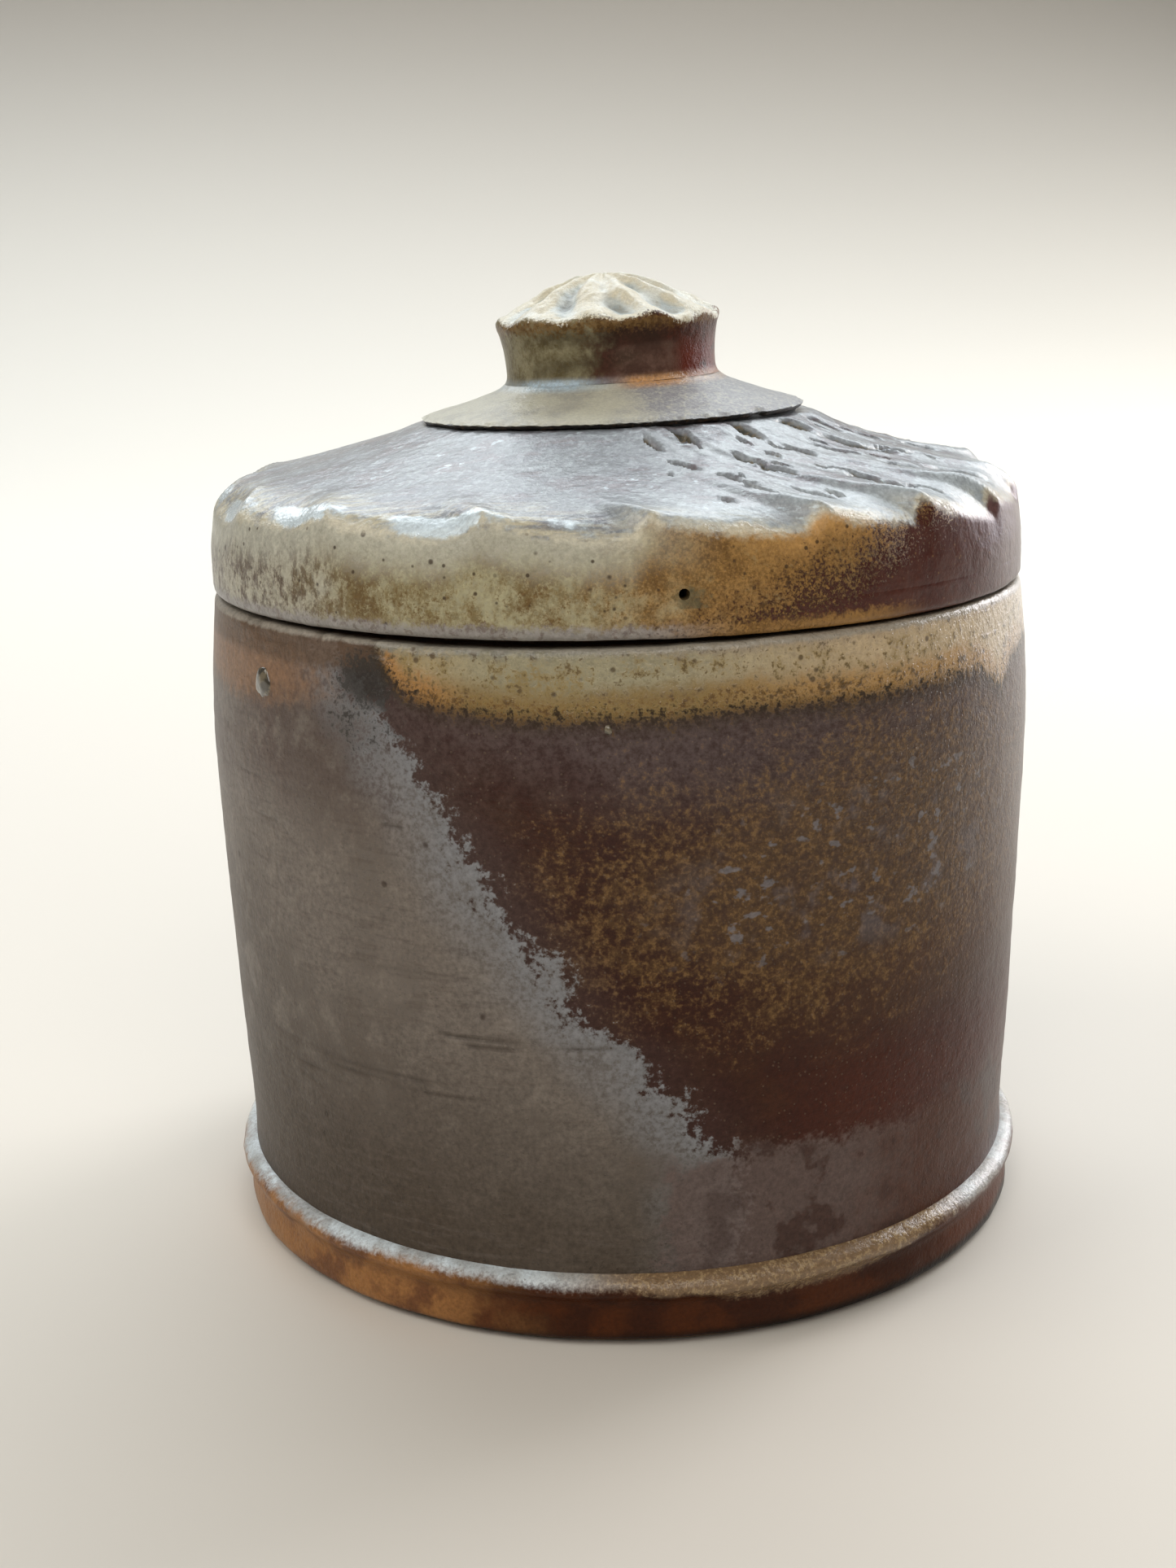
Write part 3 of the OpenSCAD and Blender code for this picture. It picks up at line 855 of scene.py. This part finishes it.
def frost_field(turn, radius, height):
    """Millimetres inside the grey flashing, from its diagonal front edge or its back edge."""
    swing = apart(turn, GREY_TURN)
    front = (along(FROST_EDGE, height) - GREY_TURN - swing) * 0.72
    back = (swing + along(BACK_EDGE, height)) * 0.8
    return clamp(min(front, back), -20, 20)


def scratch_field(turn, radius, height):
    """How deep a scratch is here."""
    depth = 0
    for turn0, height0, turn1, height1, strength in SCRATCHES:
        t = (turn - turn0) / (turn1 - turn0)
        if 0 < t < 1:
            line = height0 + (height1 - height0) * t
            near = 1 - abs(height - line) / 0.35
            depth = max(depth, strength * clamp(near) * min(1, 6 * t, 6 * (1 - t)))
    return depth


def oval(turn, height, turn0, height0, wide, tall):
    """1 at the middle of an oval patch and 0 on its edge, negative outside."""
    return 1 - math.hypot(apart(turn, turn0) / wide, (height - height0) / tall)


def belt_field(turn, radius, height):
    """Millimetres inside the purple-grey belt above the foot, which ends behind."""
    front = clamp(min(22.3 - height, 0.8 * apart(turn, 4)), -9, 9)
    return front * ease(175, 140, abs(turn)) - 9 * ease(140, 175, abs(turn))


def make_wall(shape, glaze):
    outline = ((MOUTH_R, WALL_FOOT), (WALL_R, WALL_FOOT), (WALL_R, RIM), (MOUTH_R, RIM))
    bm = turned(outline, lambda r, z: 0.46 if r > MOUTH_R + 1 and z > 20 else 1.2,
                rounds=((2, 0.8), (3, 1.2)))
    shaped(bm, wall_rule(shape))
    painted(bm, "frost", frost_field)
    painted(bm, "ash", lambda t, r, z: clamp(z - along(ASH_EDGE, t), -12, 12))
    painted(bm, "mottle", lambda t, r, z: clamp(
        5 * oval(t, z, 33, 54 + 0.12 * (t - 30), 38, 14), -4, 4))
    painted(bm, "turn", facing)
    painted(bm, "belt", belt_field)
    painted(bm, "blush", lambda t, r, z: clamp(oval(t, z, -62, 74.2, 27, 4.5), -1, 1))
    painted(bm, "smoke", lambda t, r, z: clamp(max(
        oval(t, z, -32, 75, 7, 4.5), 0.35 * oval(t, z, -34, 70, 8, 5)), -1, 1))
    painted(bm, "rim", lambda t, r, z: ease(RIM - 1.6, RIM - 0.2, z))
    painted(bm, "inside", lambda t, r, z: ease(48.4, 47.4, r) * ease(RIM + 2, RIM - 2, z)
            + ease(46.6, 45.6, r) * ease(RIM - 2, RIM, z))
    painted(bm, "scratch", scratch_field)
    return finished(bm, "wall_thrown", wall_glaze(glaze), "pot", ["wall"])


def bead_field(turn, radius, height):
    """Millimetres above the lower edge of the ash on the bead, lowest right of the front."""
    run = 1.9 * ease(-2, 12, turn) * ease(46, 30, turn) - 0.5 * ease(6, -10, turn)
    gap = 0.9 * ease(5, 1, abs(apart(turn, 9)))
    return height - 7.1 + 0.6 * bumps(spot(turn, 50, 0), 9, 12) + run - gap


def make_base(shape, glaze):
    outline = ((0, TABLE), (UNDER_R, TABLE), (BASE_R, 0.9), (BASE_R, BASE_TOP), (0, BASE_TOP))

    def rule(turn, radius, height):
        place = spot(turn, BASE_R, height)
        edge = ease(UNDER_R - 1, BASE_R, radius)
        out = edge * (along(BASE_LINE, height) - BASE_R)
        out += edge * (0.12 * bumps(place, 7, 7) + 0.05 * bumps(place, 1.8, 8))
        sag = ease(4.5, 6.2, height) * ease(8.6, 7.6, height)
        nick = ease(4, 1, abs(apart(turn, -52))) * ease(7.8, 6.4, height)
        out += edge * (0.12 * sag * bumps(place, 4, 9) - 0.45 * nick * sag)
        lift = edge * 0.22 * sag * bumps(Vector((place.x, place.y, 0)), 5, 10)
        floor = ease(MOUTH_R + 2, MOUTH_R - 2, radius) * ease(4, 8, height)
        lift += floor * 0.3 * (finger_ridges(turn, radius, 7) - 1) * ease(0, 6, radius)
        wire = ease(4, 0, height) * ease(UNDER_R + 0.2, UNDER_R - 1, radius)
        arc = math.sin((place.x * radius / BASE_R * 0.35 + (radius / 9) ** 2) * 1.3)
        lift += wire * 0.12 * (1 + arc)
        return min(radius + out, BASE_R), max(height + lift, TABLE)

    bm = turned(outline, lambda r, z: 0.3 if r > UNDER_R else 1.6, rounds=((1, 0.5),))
    shaped(bm, rule)
    painted(bm, "turn", facing)
    painted(bm, "bead", bead_field)
    painted(bm, "under", lambda t, r, z: ease(0.5, 0.15, z))
    painted(bm, "inside", lambda t, r, z: ease(47, 46, r) * ease(5, 7, z))
    return finished(bm, "base_beaded", base_glaze(glaze), "pot", ["base"])


def cut_place(turn, radius, starts, swirl, rim_r):
    """Number of the knife cut here and how far across it, from its ridge at 0 to 1."""
    first = starts[0]
    at = (turn + swirl * (rim_r - radius) - first) % 360 + first
    i = max(k for k, start in enumerate(starts) if start <= at)
    end = starts[i + 1] if i + 1 < len(starts) else first + 360
    return i, (at - starts[i]) / (end - starts[i])


def cut_fall(across, low):
    """Height across a cut: 1 on its ridge, 0 in its low, and steeply up again to the next."""
    if across < low:
        return 1 - math.sin(math.pi / 2 * across / low) ** 0.85
    return ease(low, 1, across)


def lid_top(shape, turn, radius):
    """Height of the lid's cut top."""
    cut, across = cut_place(turn, radius, CUT_TURNS, CUT_SWIRL, SHELL_R)
    deep = shape.cut_depth / MM * CUT_STARTS[cut][1]
    inward = ease(-5, 30, turn) * ease(215, 170, turn % 360)
    deep *= along(((23, 0), (34, 0.02 + 0.08 * inward), (40, 0.08 + 0.16 * inward),
                   (44, 0.26 + 0.14 * inward), (47, 0.66), (49.5, 1)), radius)
    slump = ease(45, 50, radius) * (0.35 + 1.3 * ease(38, 70, abs(apart(turn, 0))))
    under_collar = 0.4 * ease(31, 24, radius) * math.sin(math.radians(turn))
    return (along(LID_LINE, radius) + under_collar - slump
            + deep * (cut_fall(across, 0.86 - 0.16 * ease(-10, -40, turn)) - 0.5))


def tear_field(tears):
    """Depth of the tears, from 0 to 1, each a slit with one steep bank."""
    def depth(turn, radius, height):
        most = 0
        for turn0, radius0, length, width in tears:
            ahead = (radius - radius0) / (length / 2)
            if abs(ahead) > 1.2:
                continue
            if abs(apart(turn, turn0)) > 30:
                continue
            place = spot(turn, radius, 0)
            ahead += 0.35 * bumps(place, 2.6, 62)
            lean = apart(turn, turn0 + CUT_SWIRL * (radius - radius0)) + 1.4 * bumps(place, 2, 63)
            across = math.radians(lean) * radius / (width / 2)
            if abs(across) > 2.5:
                continue
            bank = across / 0.7 if across < 0 else across / 1.5
            most = max(most, ease(1, 0.4, math.hypot(ahead, bank)))
        return most
    return depth


def all_tears(shape):
    """The large tears, and small ones scattered over the rest of the top."""
    dice = random.Random(shape.seed)
    tears = list(TEARS)
    for _ in range(70):
        turn = dice.uniform(5, 230)
        radius = dice.uniform(27, 46)
        big = dice.uniform(0.5, 1.0) * (1 if 75 < turn < 200 else 0.55)
        tears.append((turn, radius, 5 * big, 1.5 * big))
    return tears


def lid_rule(shape, tears):
    tear_at = tear_field(tears)

    def rule(turn, radius, height):
        place = spot(turn, radius, height)
        flat = min(CROWN, CROWN - (CROWN - SHOULDER) * (radius - FLAT_R) / (SHELL_R - FLAT_R))
        share = clamp((height - SHELL_FOOT) / (flat - SHELL_FOOT))
        outer = clamp((radius - 44) / (SHELL_R - 44))
        lift = share ** 1.4 * (lid_top(shape, turn, radius) - flat)
        skin = ease(0.8, 0.95, share)
        lift += skin * (0.14 * bumps(place, 5, 21) + 0.06 * bumps(place, 1.6, 22))
        swept = spot(turn + CUT_SWIRL * (SHELL_R - radius), 30, radius * 0.2)
        rows = ease(-8, 25, turn) * ease(200, 160, turn % 360) * ease(48, 44, radius)
        lift += skin * 0.22 * rows * bumps(swept, 1.6, 27)
        lift -= skin * shape.tear_depth / MM * tear_at(turn, radius, height)
        out = outer * (along(LID_SIDE, height) - SHELL_R)
        out += outer * (lid_side_bumps(place) - seam_groove(height - SHELL_FOOT))
        return min(radius + out, SHELL_R), min(height + lift, CROWN + 0.3)

    return rule


def bore_vent(bm):
    """Opens the vent: the skin inside its circle goes, and a tube joins both skins."""
    axis = spot(VENT_TURN, 1, 0).normalized()
    centre = Vector((0, 0, VENT_HEIGHT))

    def off_axis(v):
        along_axis = (v.co - centre).dot(axis)
        return (v.co - centre - axis * along_axis).length if along_axis > 0 else math.inf

    inside = {v for v in bm.verts if off_axis(v) < VENT_R * 1.15}
    bmesh.ops.delete(bm, geom=list(inside), context="VERTS")
    lips = [e for e in bm.edges if e.is_boundary]
    for v in {v for e in lips for v in e.verts}:
        depth = (v.co - centre).dot(axis)
        spoke = v.co - centre - axis * depth
        v.co = centre + axis * depth + spoke.normalized() * VENT_R
    tube = bmesh.ops.bridge_loops(bm, edges=lips)
    bmesh.ops.subdivide_edges(bm, edges=tube["edges"], cuts=3)


def foot_field(turn, radius, height):
    """Millimetres inside the grey strip along the lower edge of the lid."""
    return SEAM - 1.7 - height


def lee_field(turn, radius, height):
    """How far into the bare maroon side of the lid, away from the ash."""
    return clamp(0.6 * (facing(turn, radius, height) - 20 - 2.4 * (height - 82)), -12, 12)


def make_lid_shell(shape, glaze):
    hollow_r = SHELL_R - LID_T
    outline = ((hollow_r, SHELL_FOOT), (SHELL_R, SHELL_FOOT), (SHELL_R, SHOULDER), (FLAT_R, CROWN),
               (0, CROWN), (0, CROWN - LID_T), (FLAT_R, CROWN - LID_T),
               (hollow_r, SHOULDER - 2 - LID_T))

    def pitch(radius, height):
        top = radius > FLAT_R and height > CROWN - (radius - FLAT_R) * 0.4
        return 0.5 if top or radius > SHELL_R - 1 else 3

    tears = all_tears(shape)
    bm = turned(outline, pitch, sectors=70, cuts=9, rounds=((2, 2.2),))
    shaped(bm, lid_rule(shape, tears))
    bore_vent(bm)
    bmesh.ops.recalc_face_normals(bm, faces=bm.faces)

    def cut_edge(turn, radius, height):
        top = lid_top(shape, turn, 48.5)
        return clamp(max(48 - radius, 0) + height - top + 0.9, -8, 12)

    def pool(turn, radius, height):
        _, across = cut_place(turn, radius, CUT_TURNS, CUT_SWIRL, SHELL_R)
        edge = abs(cut_edge(turn, radius, height) - 1.5)
        low = ease(0.25, 0.7, across) + 0.5 * ease(0.4, 0.1, across)
        return clamp(ease(2.6, 0.5, edge) * low * ease(4, -14, turn) * ease(170, 120, abs(turn)))

    painted(bm, "turn", facing)
    painted(bm, "cut_edge", cut_edge)
    painted(bm, "pool", pool)
    painted(bm, "lee", lee_field)
    painted(bm, "foot", foot_field)
    painted(bm, "tear", tear_field(tears))
    painted(bm, "vent", lambda t, r, z: clamp(1 - math.hypot(
        (t - VENT_TURN - 1.0) * 0.87, z - VENT_HEIGHT + 0.8) / 3.0))
    return finished(bm, "lid_shell_cut", lid_glaze(glaze), "lid", ["lid_shell"])


def make_lid_floor(shape, glaze):
    outline = ((0, SEAT), (LID_R, SEAT), (LID_R, SEAM), (0, SEAM))

    def rule(turn, radius, height):
        place = spot(turn, LID_R, height)
        edge = ease(LID_R - 3, LID_R, radius)
        out = edge * (lid_side_bumps(place) - seam_groove(SEAM - height))
        ridges = finger_ridges(turn, radius, 8)
        lift = 0.1 * (ridges + 1) * ease(2, 0, height - SEAT) * ease(38, 34, radius)
        lift += edge * 0.08 * (1 + bumps(place, 3, 26)) * ease(1.5, 0, height - SEAT)
        return min(radius + out, LID_R), min(height + lift, SEAM)

    bm = turned(outline, lambda r, z: 0.35 if r > LID_R - 1 else 1.6, rounds=((1, 0.9),))
    shaped(bm, rule)
    painted(bm, "turn", facing)
    painted(bm, "cut_edge", lambda t, r, z: -8)
    painted(bm, "lee", lee_field)
    painted(bm, "foot", foot_field)
    painted(bm, "under", lambda t, r, z: ease(LID_R - 0.6, LID_R - 1.6, r) * ease(1, 0, z - SEAT))
    return finished(bm, "lid_floor_disc", lid_glaze(glaze), "lid", ["lid_floor"])


def make_ring(shape, glaze):
    outline = ((RING_R - RING_T, RING_FOOT), (RING_R - 0.4, RING_FOOT), (RING_R, RING_TOP),
               (RING_R - RING_T, RING_TOP))

    def rule(turn, radius, height):
        place = spot(turn, radius, height)
        wobble = 0.1 * bumps(place, 9, 31) + 0.05 * bumps(place, 2, 32) - 0.1
        foot = ease(3, 0, height - RING_FOOT)
        return radius + wobble, height + foot * 0.12 * (1 + bumps(place, 6, 33))

    bm = turned(outline, lambda r, z: 0.6, rounds=((0, 0.9), (1, 0.9)))
    shaped(bm, rule)
    return finished(bm, "locating_ring_thrown", ring_clay(glaze), "lid",
                    ["locating_ring"])


def neck_gloss_and_highlight(turn):
    """Gloss of the turn from collar to knob, most left and right of the front."""
    return max(ease(26, 8, abs(turn + 32)), ease(24, 8, abs(turn - 24)))


def make_collar(shape, glaze):
    lip = COLLAR_FOOT + 0.75
    lean = math.tan(shape.collar_lean)
    knob_lean = math.tan(shape.knob_lean)
    outline = ((0, COLLAR_FOOT), (COLLAR_R - 1.8, COLLAR_FOOT), (COLLAR_R - 0.35, COLLAR_FOOT + 0.3),
               (COLLAR_R, lip), (NECK_R, COLLAR_TOP), (0, COLLAR_TOP))

    def rule(turn, radius, height):
        place = spot(turn, radius, height)
        flat = COLLAR_TOP - (COLLAR_TOP - lip) * clamp((radius - NECK_R) / (COLLAR_R - NECK_R))
        share = clamp((height - lip) / (flat - lip)) if radius < COLLAR_R - 0.4 else 0
        edge = ease(COLLAR_R - 1.9, COLLAR_R - 0.3, radius)
        lift = share * (along(COLLAR_LINE, radius) - flat)
        lift += share * (0.06 * bumps(place, 3, 41) + 0.03 * bumps(place, 1, 42))
        tilt = lean + (knob_lean - lean) * ease(COLLAR_R, NECK_R, radius)
        lift += place.x * tilt * ease(0, 0.3, height - COLLAR_FOOT)
        teeth = bumps(Vector((place.x, place.y, 0)), 0.7, 43) + 0.6 * bumps(place, 2.4, 44)
        lift += edge * ease(lip + 0.4, lip - 0.2, height) * 0.22 * teeth
        out = edge * (0.2 * teeth - 0.2 + 0.1 * bumps(place, 8, 45))
        out -= 0.5 * ease(3.5, 1.5, abs(apart(turn, 47))) * edge
        return min(radius + out, COLLAR_R), height + lift

    bm = turned(outline, lambda r, z: 0.3 if r > 12 and z > COLLAR_FOOT + 0.1 else 2,
                sectors=60, cuts=7)
    shaped(bm, rule)
    painted(bm, "turn", facing)
    # Gloss of the neck, and the strength of its painted highlight.
    painted(bm, "neck", lambda t, r, z: ease(14.7, 13.4, r) * (0.45 + 0.55 * neck_gloss_and_highlight(t)))
    # Dark foot of the torn edge: partly bare clay, partly painted shade.
    painted(bm, "torn", lambda t, r, z: ease(COLLAR_R - 1.3, COLLAR_R - 0.7, r) * ease(
        0.1, -0.25, z - lip - spot(t, r, 0).x * lean - 0.15 * bumps(spot(t, 24, 0), 0.8, 46)))
    return finished(bm, "collar_torn", collar_glaze(), "lid", ["collar"])


def make_knob(shape, glaze):
    lean = math.tan(shape.knob_lean)
    depth = shape.knob_cut_depth / MM
    outline = ((0, KNOB_FOOT), (KNOB_R, KNOB_FOOT), (KNOB_R, KNOB_RIM), (0, KNOB_TOP))

    def hollow(turn, radius):
        _, across = cut_place(turn + 3 * bumps(spot(turn, radius, 0), 5, 55), radius,
                              KNOB_STARTS, KNOB_SWIRL, KNOB_R)
        worn = 0.75 + 0.9 * bumps(spot(turn, radius, 0), 3.4, 50)
        return clamp(math.sin(math.pi * across ** 1.3) ** 1.6 * worn, 0, 1.3)

    def crown_height(turn, radius):
        deep = depth * along(((0, 0), (2.5, 0.4), (6, 1.2), (9, 1.2), (12, 0.9), (14, 0.8)), radius)
        return along(CROWN_LINE, radius) + deep * (0.45 - hollow(turn, radius))

    def rule(turn, radius, height):
        place = spot(turn, radius, height)
        flat = KNOB_RIM + (KNOB_TOP - KNOB_RIM) * (1 - radius / KNOB_R)
        share = clamp((height - KNOB_FOOT) / (flat - KNOB_FOOT))
        lift = share ** 3 * (crown_height(turn, radius) - flat)
        lift += share ** 3 * (0.3 * bumps(place, 2.6, 51) + 0.12 * bumps(place, 0.9, 52))
        lift += place.x * lean
        edge = clamp(radius / KNOB_R) ** 2
        out = edge * (along(KNOB_LINE, height) - KNOB_R)
        out += edge * share * (0.12 * bumps(place, 4, 53) + 0.04 * bumps(place, 1.1, 54))
        return min(radius + out, KNOB_R), height + lift

    side_r = 10

    def belts(turn, radius, height):
        """Millimetres inside the two dark belts on the side, upper and lower."""
        upper = 0.6 - abs(height - 109.2 - 0.01 * turn)
        upper += 0.5 * ease(-45, 5, turn) - 2 * ease(-20, -60, turn)
        lower = 0.8 - abs(height - 105.5 - 0.035 * (turn + 30))
        lower -= 2 * ease(-40, -60, turn) + 2 * ease(10, 24, turn)
        return max(upper, lower) if radius > side_r else -3

    bm = turned(outline, lambda r, z: 0.28 if z > KNOB_FOOT + 0.1 else 3, sectors=60, cuts=5,
                rounds=((2, 0.5),))
    shaped(bm, rule)
    painted(bm, "turn", facing)
    painted(bm, "crown", lambda t, r, z: z - spot(t, r, 0).x * lean - crown_height(t, min(r, 13.3))
            + 0.1 + 0.6 * ease(28, 46, t) * ease(90, 60, t) + 0.8 * clamp(13.2 - r, 0, 2))
    painted(bm, "hollow", lambda t, r, z: hollow(t, r) * ease(2, 6, r) * ease(13.5, 12, r))
    painted(bm, "belt", belts)
    # Gloss of the neck, and the strength of its painted highlight.
    painted(bm, "neck", lambda t, r, z: ease(104.8, 104.0, z - spot(t, r, 0).x * lean)
            * (0.35 + 0.65 * neck_gloss_and_highlight(t)))
    painted(bm, "waist", lambda t, r, z: ease(-6, 12, t) * ease(46, 30, t) * ease(
        108.4, 107.4, z - 0.02 * t) * (r > side_r))
    painted(bm, "under_rim", lambda t, r, z: 0.7 - abs(z - 110.7 - 0.01 * t) if r > side_r else -3)
    for v in bm.verts:
        v.co.x -= 0.06 * (v.co.z - KNOB_FOOT)
    return finished(bm, "knob_carved", knob_glaze(glaze), "lid", ["knob"])


def make_drops(shape, glaze):
    """The glassy kiln drip below the rim and a small bead of ash."""
    bm = bmesh.new()
    for turn, height, wide, tall, proud in DRIPS:
        fresh = bmesh.ops.create_uvsphere(bm, u_segments=32, v_segments=20, radius=1)["verts"]
        seat = along(WALL_LINE, height) - 0.05
        bmesh.ops.scale(bm, vec=(wide, proud, tall), verts=fresh)
        for v in fresh:
            v.co.z -= 0.25 * tall * ease(0.4, 1, abs(v.co.x) / wide)
            v.co += v.co.normalized() * 0.12 * bumps(v.co, 0.9, 61)
        bmesh.ops.rotate(bm, cent=(0, 0, 0), matrix=Matrix.Rotation(math.radians(turn), 3, "Z"),
                         verts=fresh)
        bmesh.ops.translate(bm, vec=spot(turn, seat, height), verts=fresh)
    return finished(bm, "kiln_drops", drop_glass(), "pot", [])


# --- stage ------------------------------------------------------------------------


def plain(name, colour, rough):
    """A plain matt paint for the stage."""
    material, tree, _ = started(name)
    surface = add(tree, "BsdfPrincipled", {"Base Color": colour, "Roughness": rough})
    add(tree, "OutputMaterial", {"Surface": surface})
    return material


def lamp(name, place, target, size, power, colour):
    """A square soft box at a place in metres, facing a target."""
    light = bpy.data.lights.new(name, "AREA")
    light.shape = "RECTANGLE"
    light.size, light.size_y = size
    light.energy = power
    light.color = colour
    box = bpy.data.objects.new(name, light)
    box.location = place
    box.rotation_euler = (Vector(target) - Vector(place)).to_track_quat("-Z", "Y").to_euler()
    bpy.context.scene.collection.objects.link(box)


def make_stage(stage):
    scene = bpy.context.scene
    bm = bmesh.new()
    wide, front, back, tall, sweep = 6.0, 3.0, 2.0, 3.0, 1.2
    below = 0.0002
    path = [bm.verts.new(p) for p in ((-wide / 2, -front, 0), (-wide / 2, back, 0),
                                      (-wide / 2, back, tall))]
    for pair in zip(path, path[1:]):
        bm.edges.new(pair)
    bmesh.ops.bevel(bm, geom=[path[1]], offset=sweep, segments=24, profile=0.5,
                    affect="VERTICES", material=-1)
    rolled = bmesh.ops.extrude_edge_only(bm, edges=bm.edges)["geom"]
    bmesh.ops.translate(bm, vec=(wide, 0, -below),
                        verts=[v for v in rolled if isinstance(v, bmesh.types.BMVert)])
    bmesh.ops.translate(bm, vec=(0, 0, -below), verts=[v for v in bm.verts if v.co.x < 0])
    bmesh.ops.recalc_face_normals(bm, faces=bm.faces)
    mesh = bpy.data.meshes.new("backdrop")
    bm.to_mesh(mesh)
    bm.free()
    mesh.shade_smooth()
    mesh.materials.append(plain("backdrop_paint", stage.floor, 0.7))
    floor = bpy.data.objects.new("backdrop", mesh)
    scene.collection.objects.link(floor)

    world = bpy.data.worlds.new("room")
    world.use_nodes = True
    background = world.node_tree.nodes["Background"]
    background.inputs["Color"].default_value = sRGB("dfe3e6")
    background.inputs["Strength"].default_value = stage.world
    scene.world = world
    middle = (0, 0, 0.06)
    key, fill = stage.key, stage.fill
    lamp("window", (0.15, 0.85, 0.85), (0.05, 0.35, 0), (2.2, 0.7), key * 1.1, (0.86, 0.94, 1.0))
    lamp("side", (-0.9, -0.3, 0.8), middle, (0.7, 0.7), key * 0.3, (1.0, 0.96, 0.9))
    lamp("right", (1.0, 0.9, 0.6), middle, (0.6, 0.8), key * 0.4, (1.0, 0.95, 0.9))
    lamp("front", (0.1, -0.9, 0.9), middle, (1.0, 0.7), fill, (1.0, 0.95, 0.88))
    lamp("edge", (0.75, 0.65, 0.3), (0, 0, 0.09), (0.35, 0.5), key * 0.15, (0.92, 0.9, 1.0))
    lamp("sweep", (0.2, 0.4, 1.9), (0.2, 2.0, 0.5), (2.4, 0.5), key * 0.4, (1.0, 0.99, 0.97))

    data = bpy.data.cameras.new("camera")
    data.sensor_width = 36
    data.lens = stage.lens
    data.clip_start = 0.01
    camera = bpy.data.objects.new("camera", data)
    swing = Matrix.Rotation(math.radians(0.95), 4, "Z")
    tilt = Matrix.Rotation(math.radians(75.46), 4, "X")
    roll = Matrix.Rotation(math.radians(-1.42), 4, "Z")
    camera.matrix_world = Matrix.Translation((0, -0.2506, 0.1171)) @ (swing @ tilt @ roll)
    scene.collection.objects.link(camera)
    scene.camera = camera
    scene.view_settings.view_transform = "Standard"


# --- add-on -----------------------------------------------------------------------


class BowlPart:
    """What the operators of the pieces share."""

    bl_options = {"REGISTER", "UNDO"}
    make = None

    def execute(self, context):
        type(self).make(context.scene.bowl_shape, context.scene.bowl_glaze)
        return {"FINISHED"}


class BOWL_OT_wall(BowlPart, bpy.types.Operator):
    """Throws the wall, flashed by fire and ash"""
    bl_idname = "bowl.wall"
    bl_label = "Wall"
    make = staticmethod(make_wall)


class BOWL_OT_base(BowlPart, bpy.types.Operator):
    """Makes the beaded base"""
    bl_idname = "bowl.base"
    bl_label = "Base"
    make = staticmethod(make_base)


class BOWL_OT_lid_floor(BowlPart, bpy.types.Operator):
    """Makes the disc that closes the lid underneath"""
    bl_idname = "bowl.lid_floor"
    bl_label = "Lid floor"
    make = staticmethod(make_lid_floor)


class BOWL_OT_lid_shell(BowlPart, bpy.types.Operator):
    """Makes the hollow lid with its cuts, tears and vent"""
    bl_idname = "bowl.lid_shell"
    bl_label = "Lid shell"
    make = staticmethod(make_lid_shell)


class BOWL_OT_locating_ring(BowlPart, bpy.types.Operator):
    """Makes the ring that keeps the lid in the mouth"""
    bl_idname = "bowl.locating_ring"
    bl_label = "Locating ring"
    make = staticmethod(make_ring)


class BOWL_OT_collar(BowlPart, bpy.types.Operator):
    """Makes the torn collar under the knob"""
    bl_idname = "bowl.collar"
    bl_label = "Collar"
    make = staticmethod(make_collar)


class BOWL_OT_knob(BowlPart, bpy.types.Operator):
    """Makes the flared knob with its carved crown"""
    bl_idname = "bowl.knob"
    bl_label = "Knob"
    make = staticmethod(make_knob)


class BOWL_OT_kiln_drops(BowlPart, bpy.types.Operator):
    """Makes the drips of melted ash on the wall"""
    bl_idname = "bowl.kiln_drops"
    bl_label = "Kiln drops"
    make = staticmethod(make_drops)


class BOWL_OT_stage(bpy.types.Operator):
    """Sets the floor, the lights and the camera"""
    bl_idname = "bowl.stage"
    bl_label = "Stage"
    bl_options = {"REGISTER", "UNDO"}

    def execute(self, context):
        make_stage(context.scene.bowl_stage)
        return {"FINISHED"}


STEPS = (
    BOWL_OT_wall, BOWL_OT_base, BOWL_OT_lid_floor, BOWL_OT_lid_shell, BOWL_OT_locating_ring,
    BOWL_OT_collar, BOWL_OT_knob, BOWL_OT_kiln_drops, BOWL_OT_stage,
)
GROUPS = (("bowl_shape", BowlShape), ("bowl_glaze", BowlGlaze), ("bowl_stage", BowlStage))


class BOWL_PT_panel(bpy.types.Panel):
    """Lists the steps and their settings"""
    bl_idname = "BOWL_PT_panel"
    bl_label = "Sugar bowl"
    bl_space_type = "VIEW_3D"
    bl_region_type = "UI"
    bl_category = "Sugar bowl"

    def draw(self, context):
        for step in STEPS:
            self.layout.operator(step.bl_idname)
        for name, group in GROUPS:
            column = self.layout.column(heading=group.__doc__)
            for setting in group.__annotations__:
                column.prop(getattr(context.scene, name), setting)


def register():
    for name, group in GROUPS:
        bpy.utils.register_class(group)
        setattr(bpy.types.Scene, name, bpy.props.PointerProperty(type=group))
    for cls in (*STEPS, BOWL_PT_panel):
        bpy.utils.register_class(cls)


def unregister():
    for cls in (BOWL_PT_panel, *reversed(STEPS)):
        bpy.utils.unregister_class(cls)
    for name, group in reversed(GROUPS):
        delattr(bpy.types.Scene, name)
        bpy.utils.unregister_class(group)


def main():
    register()
    for step in STEPS:
        family, name = step.bl_idname.split(".")
        getattr(getattr(bpy.ops, family), name)()


if __name__ == "__main__":
    main()
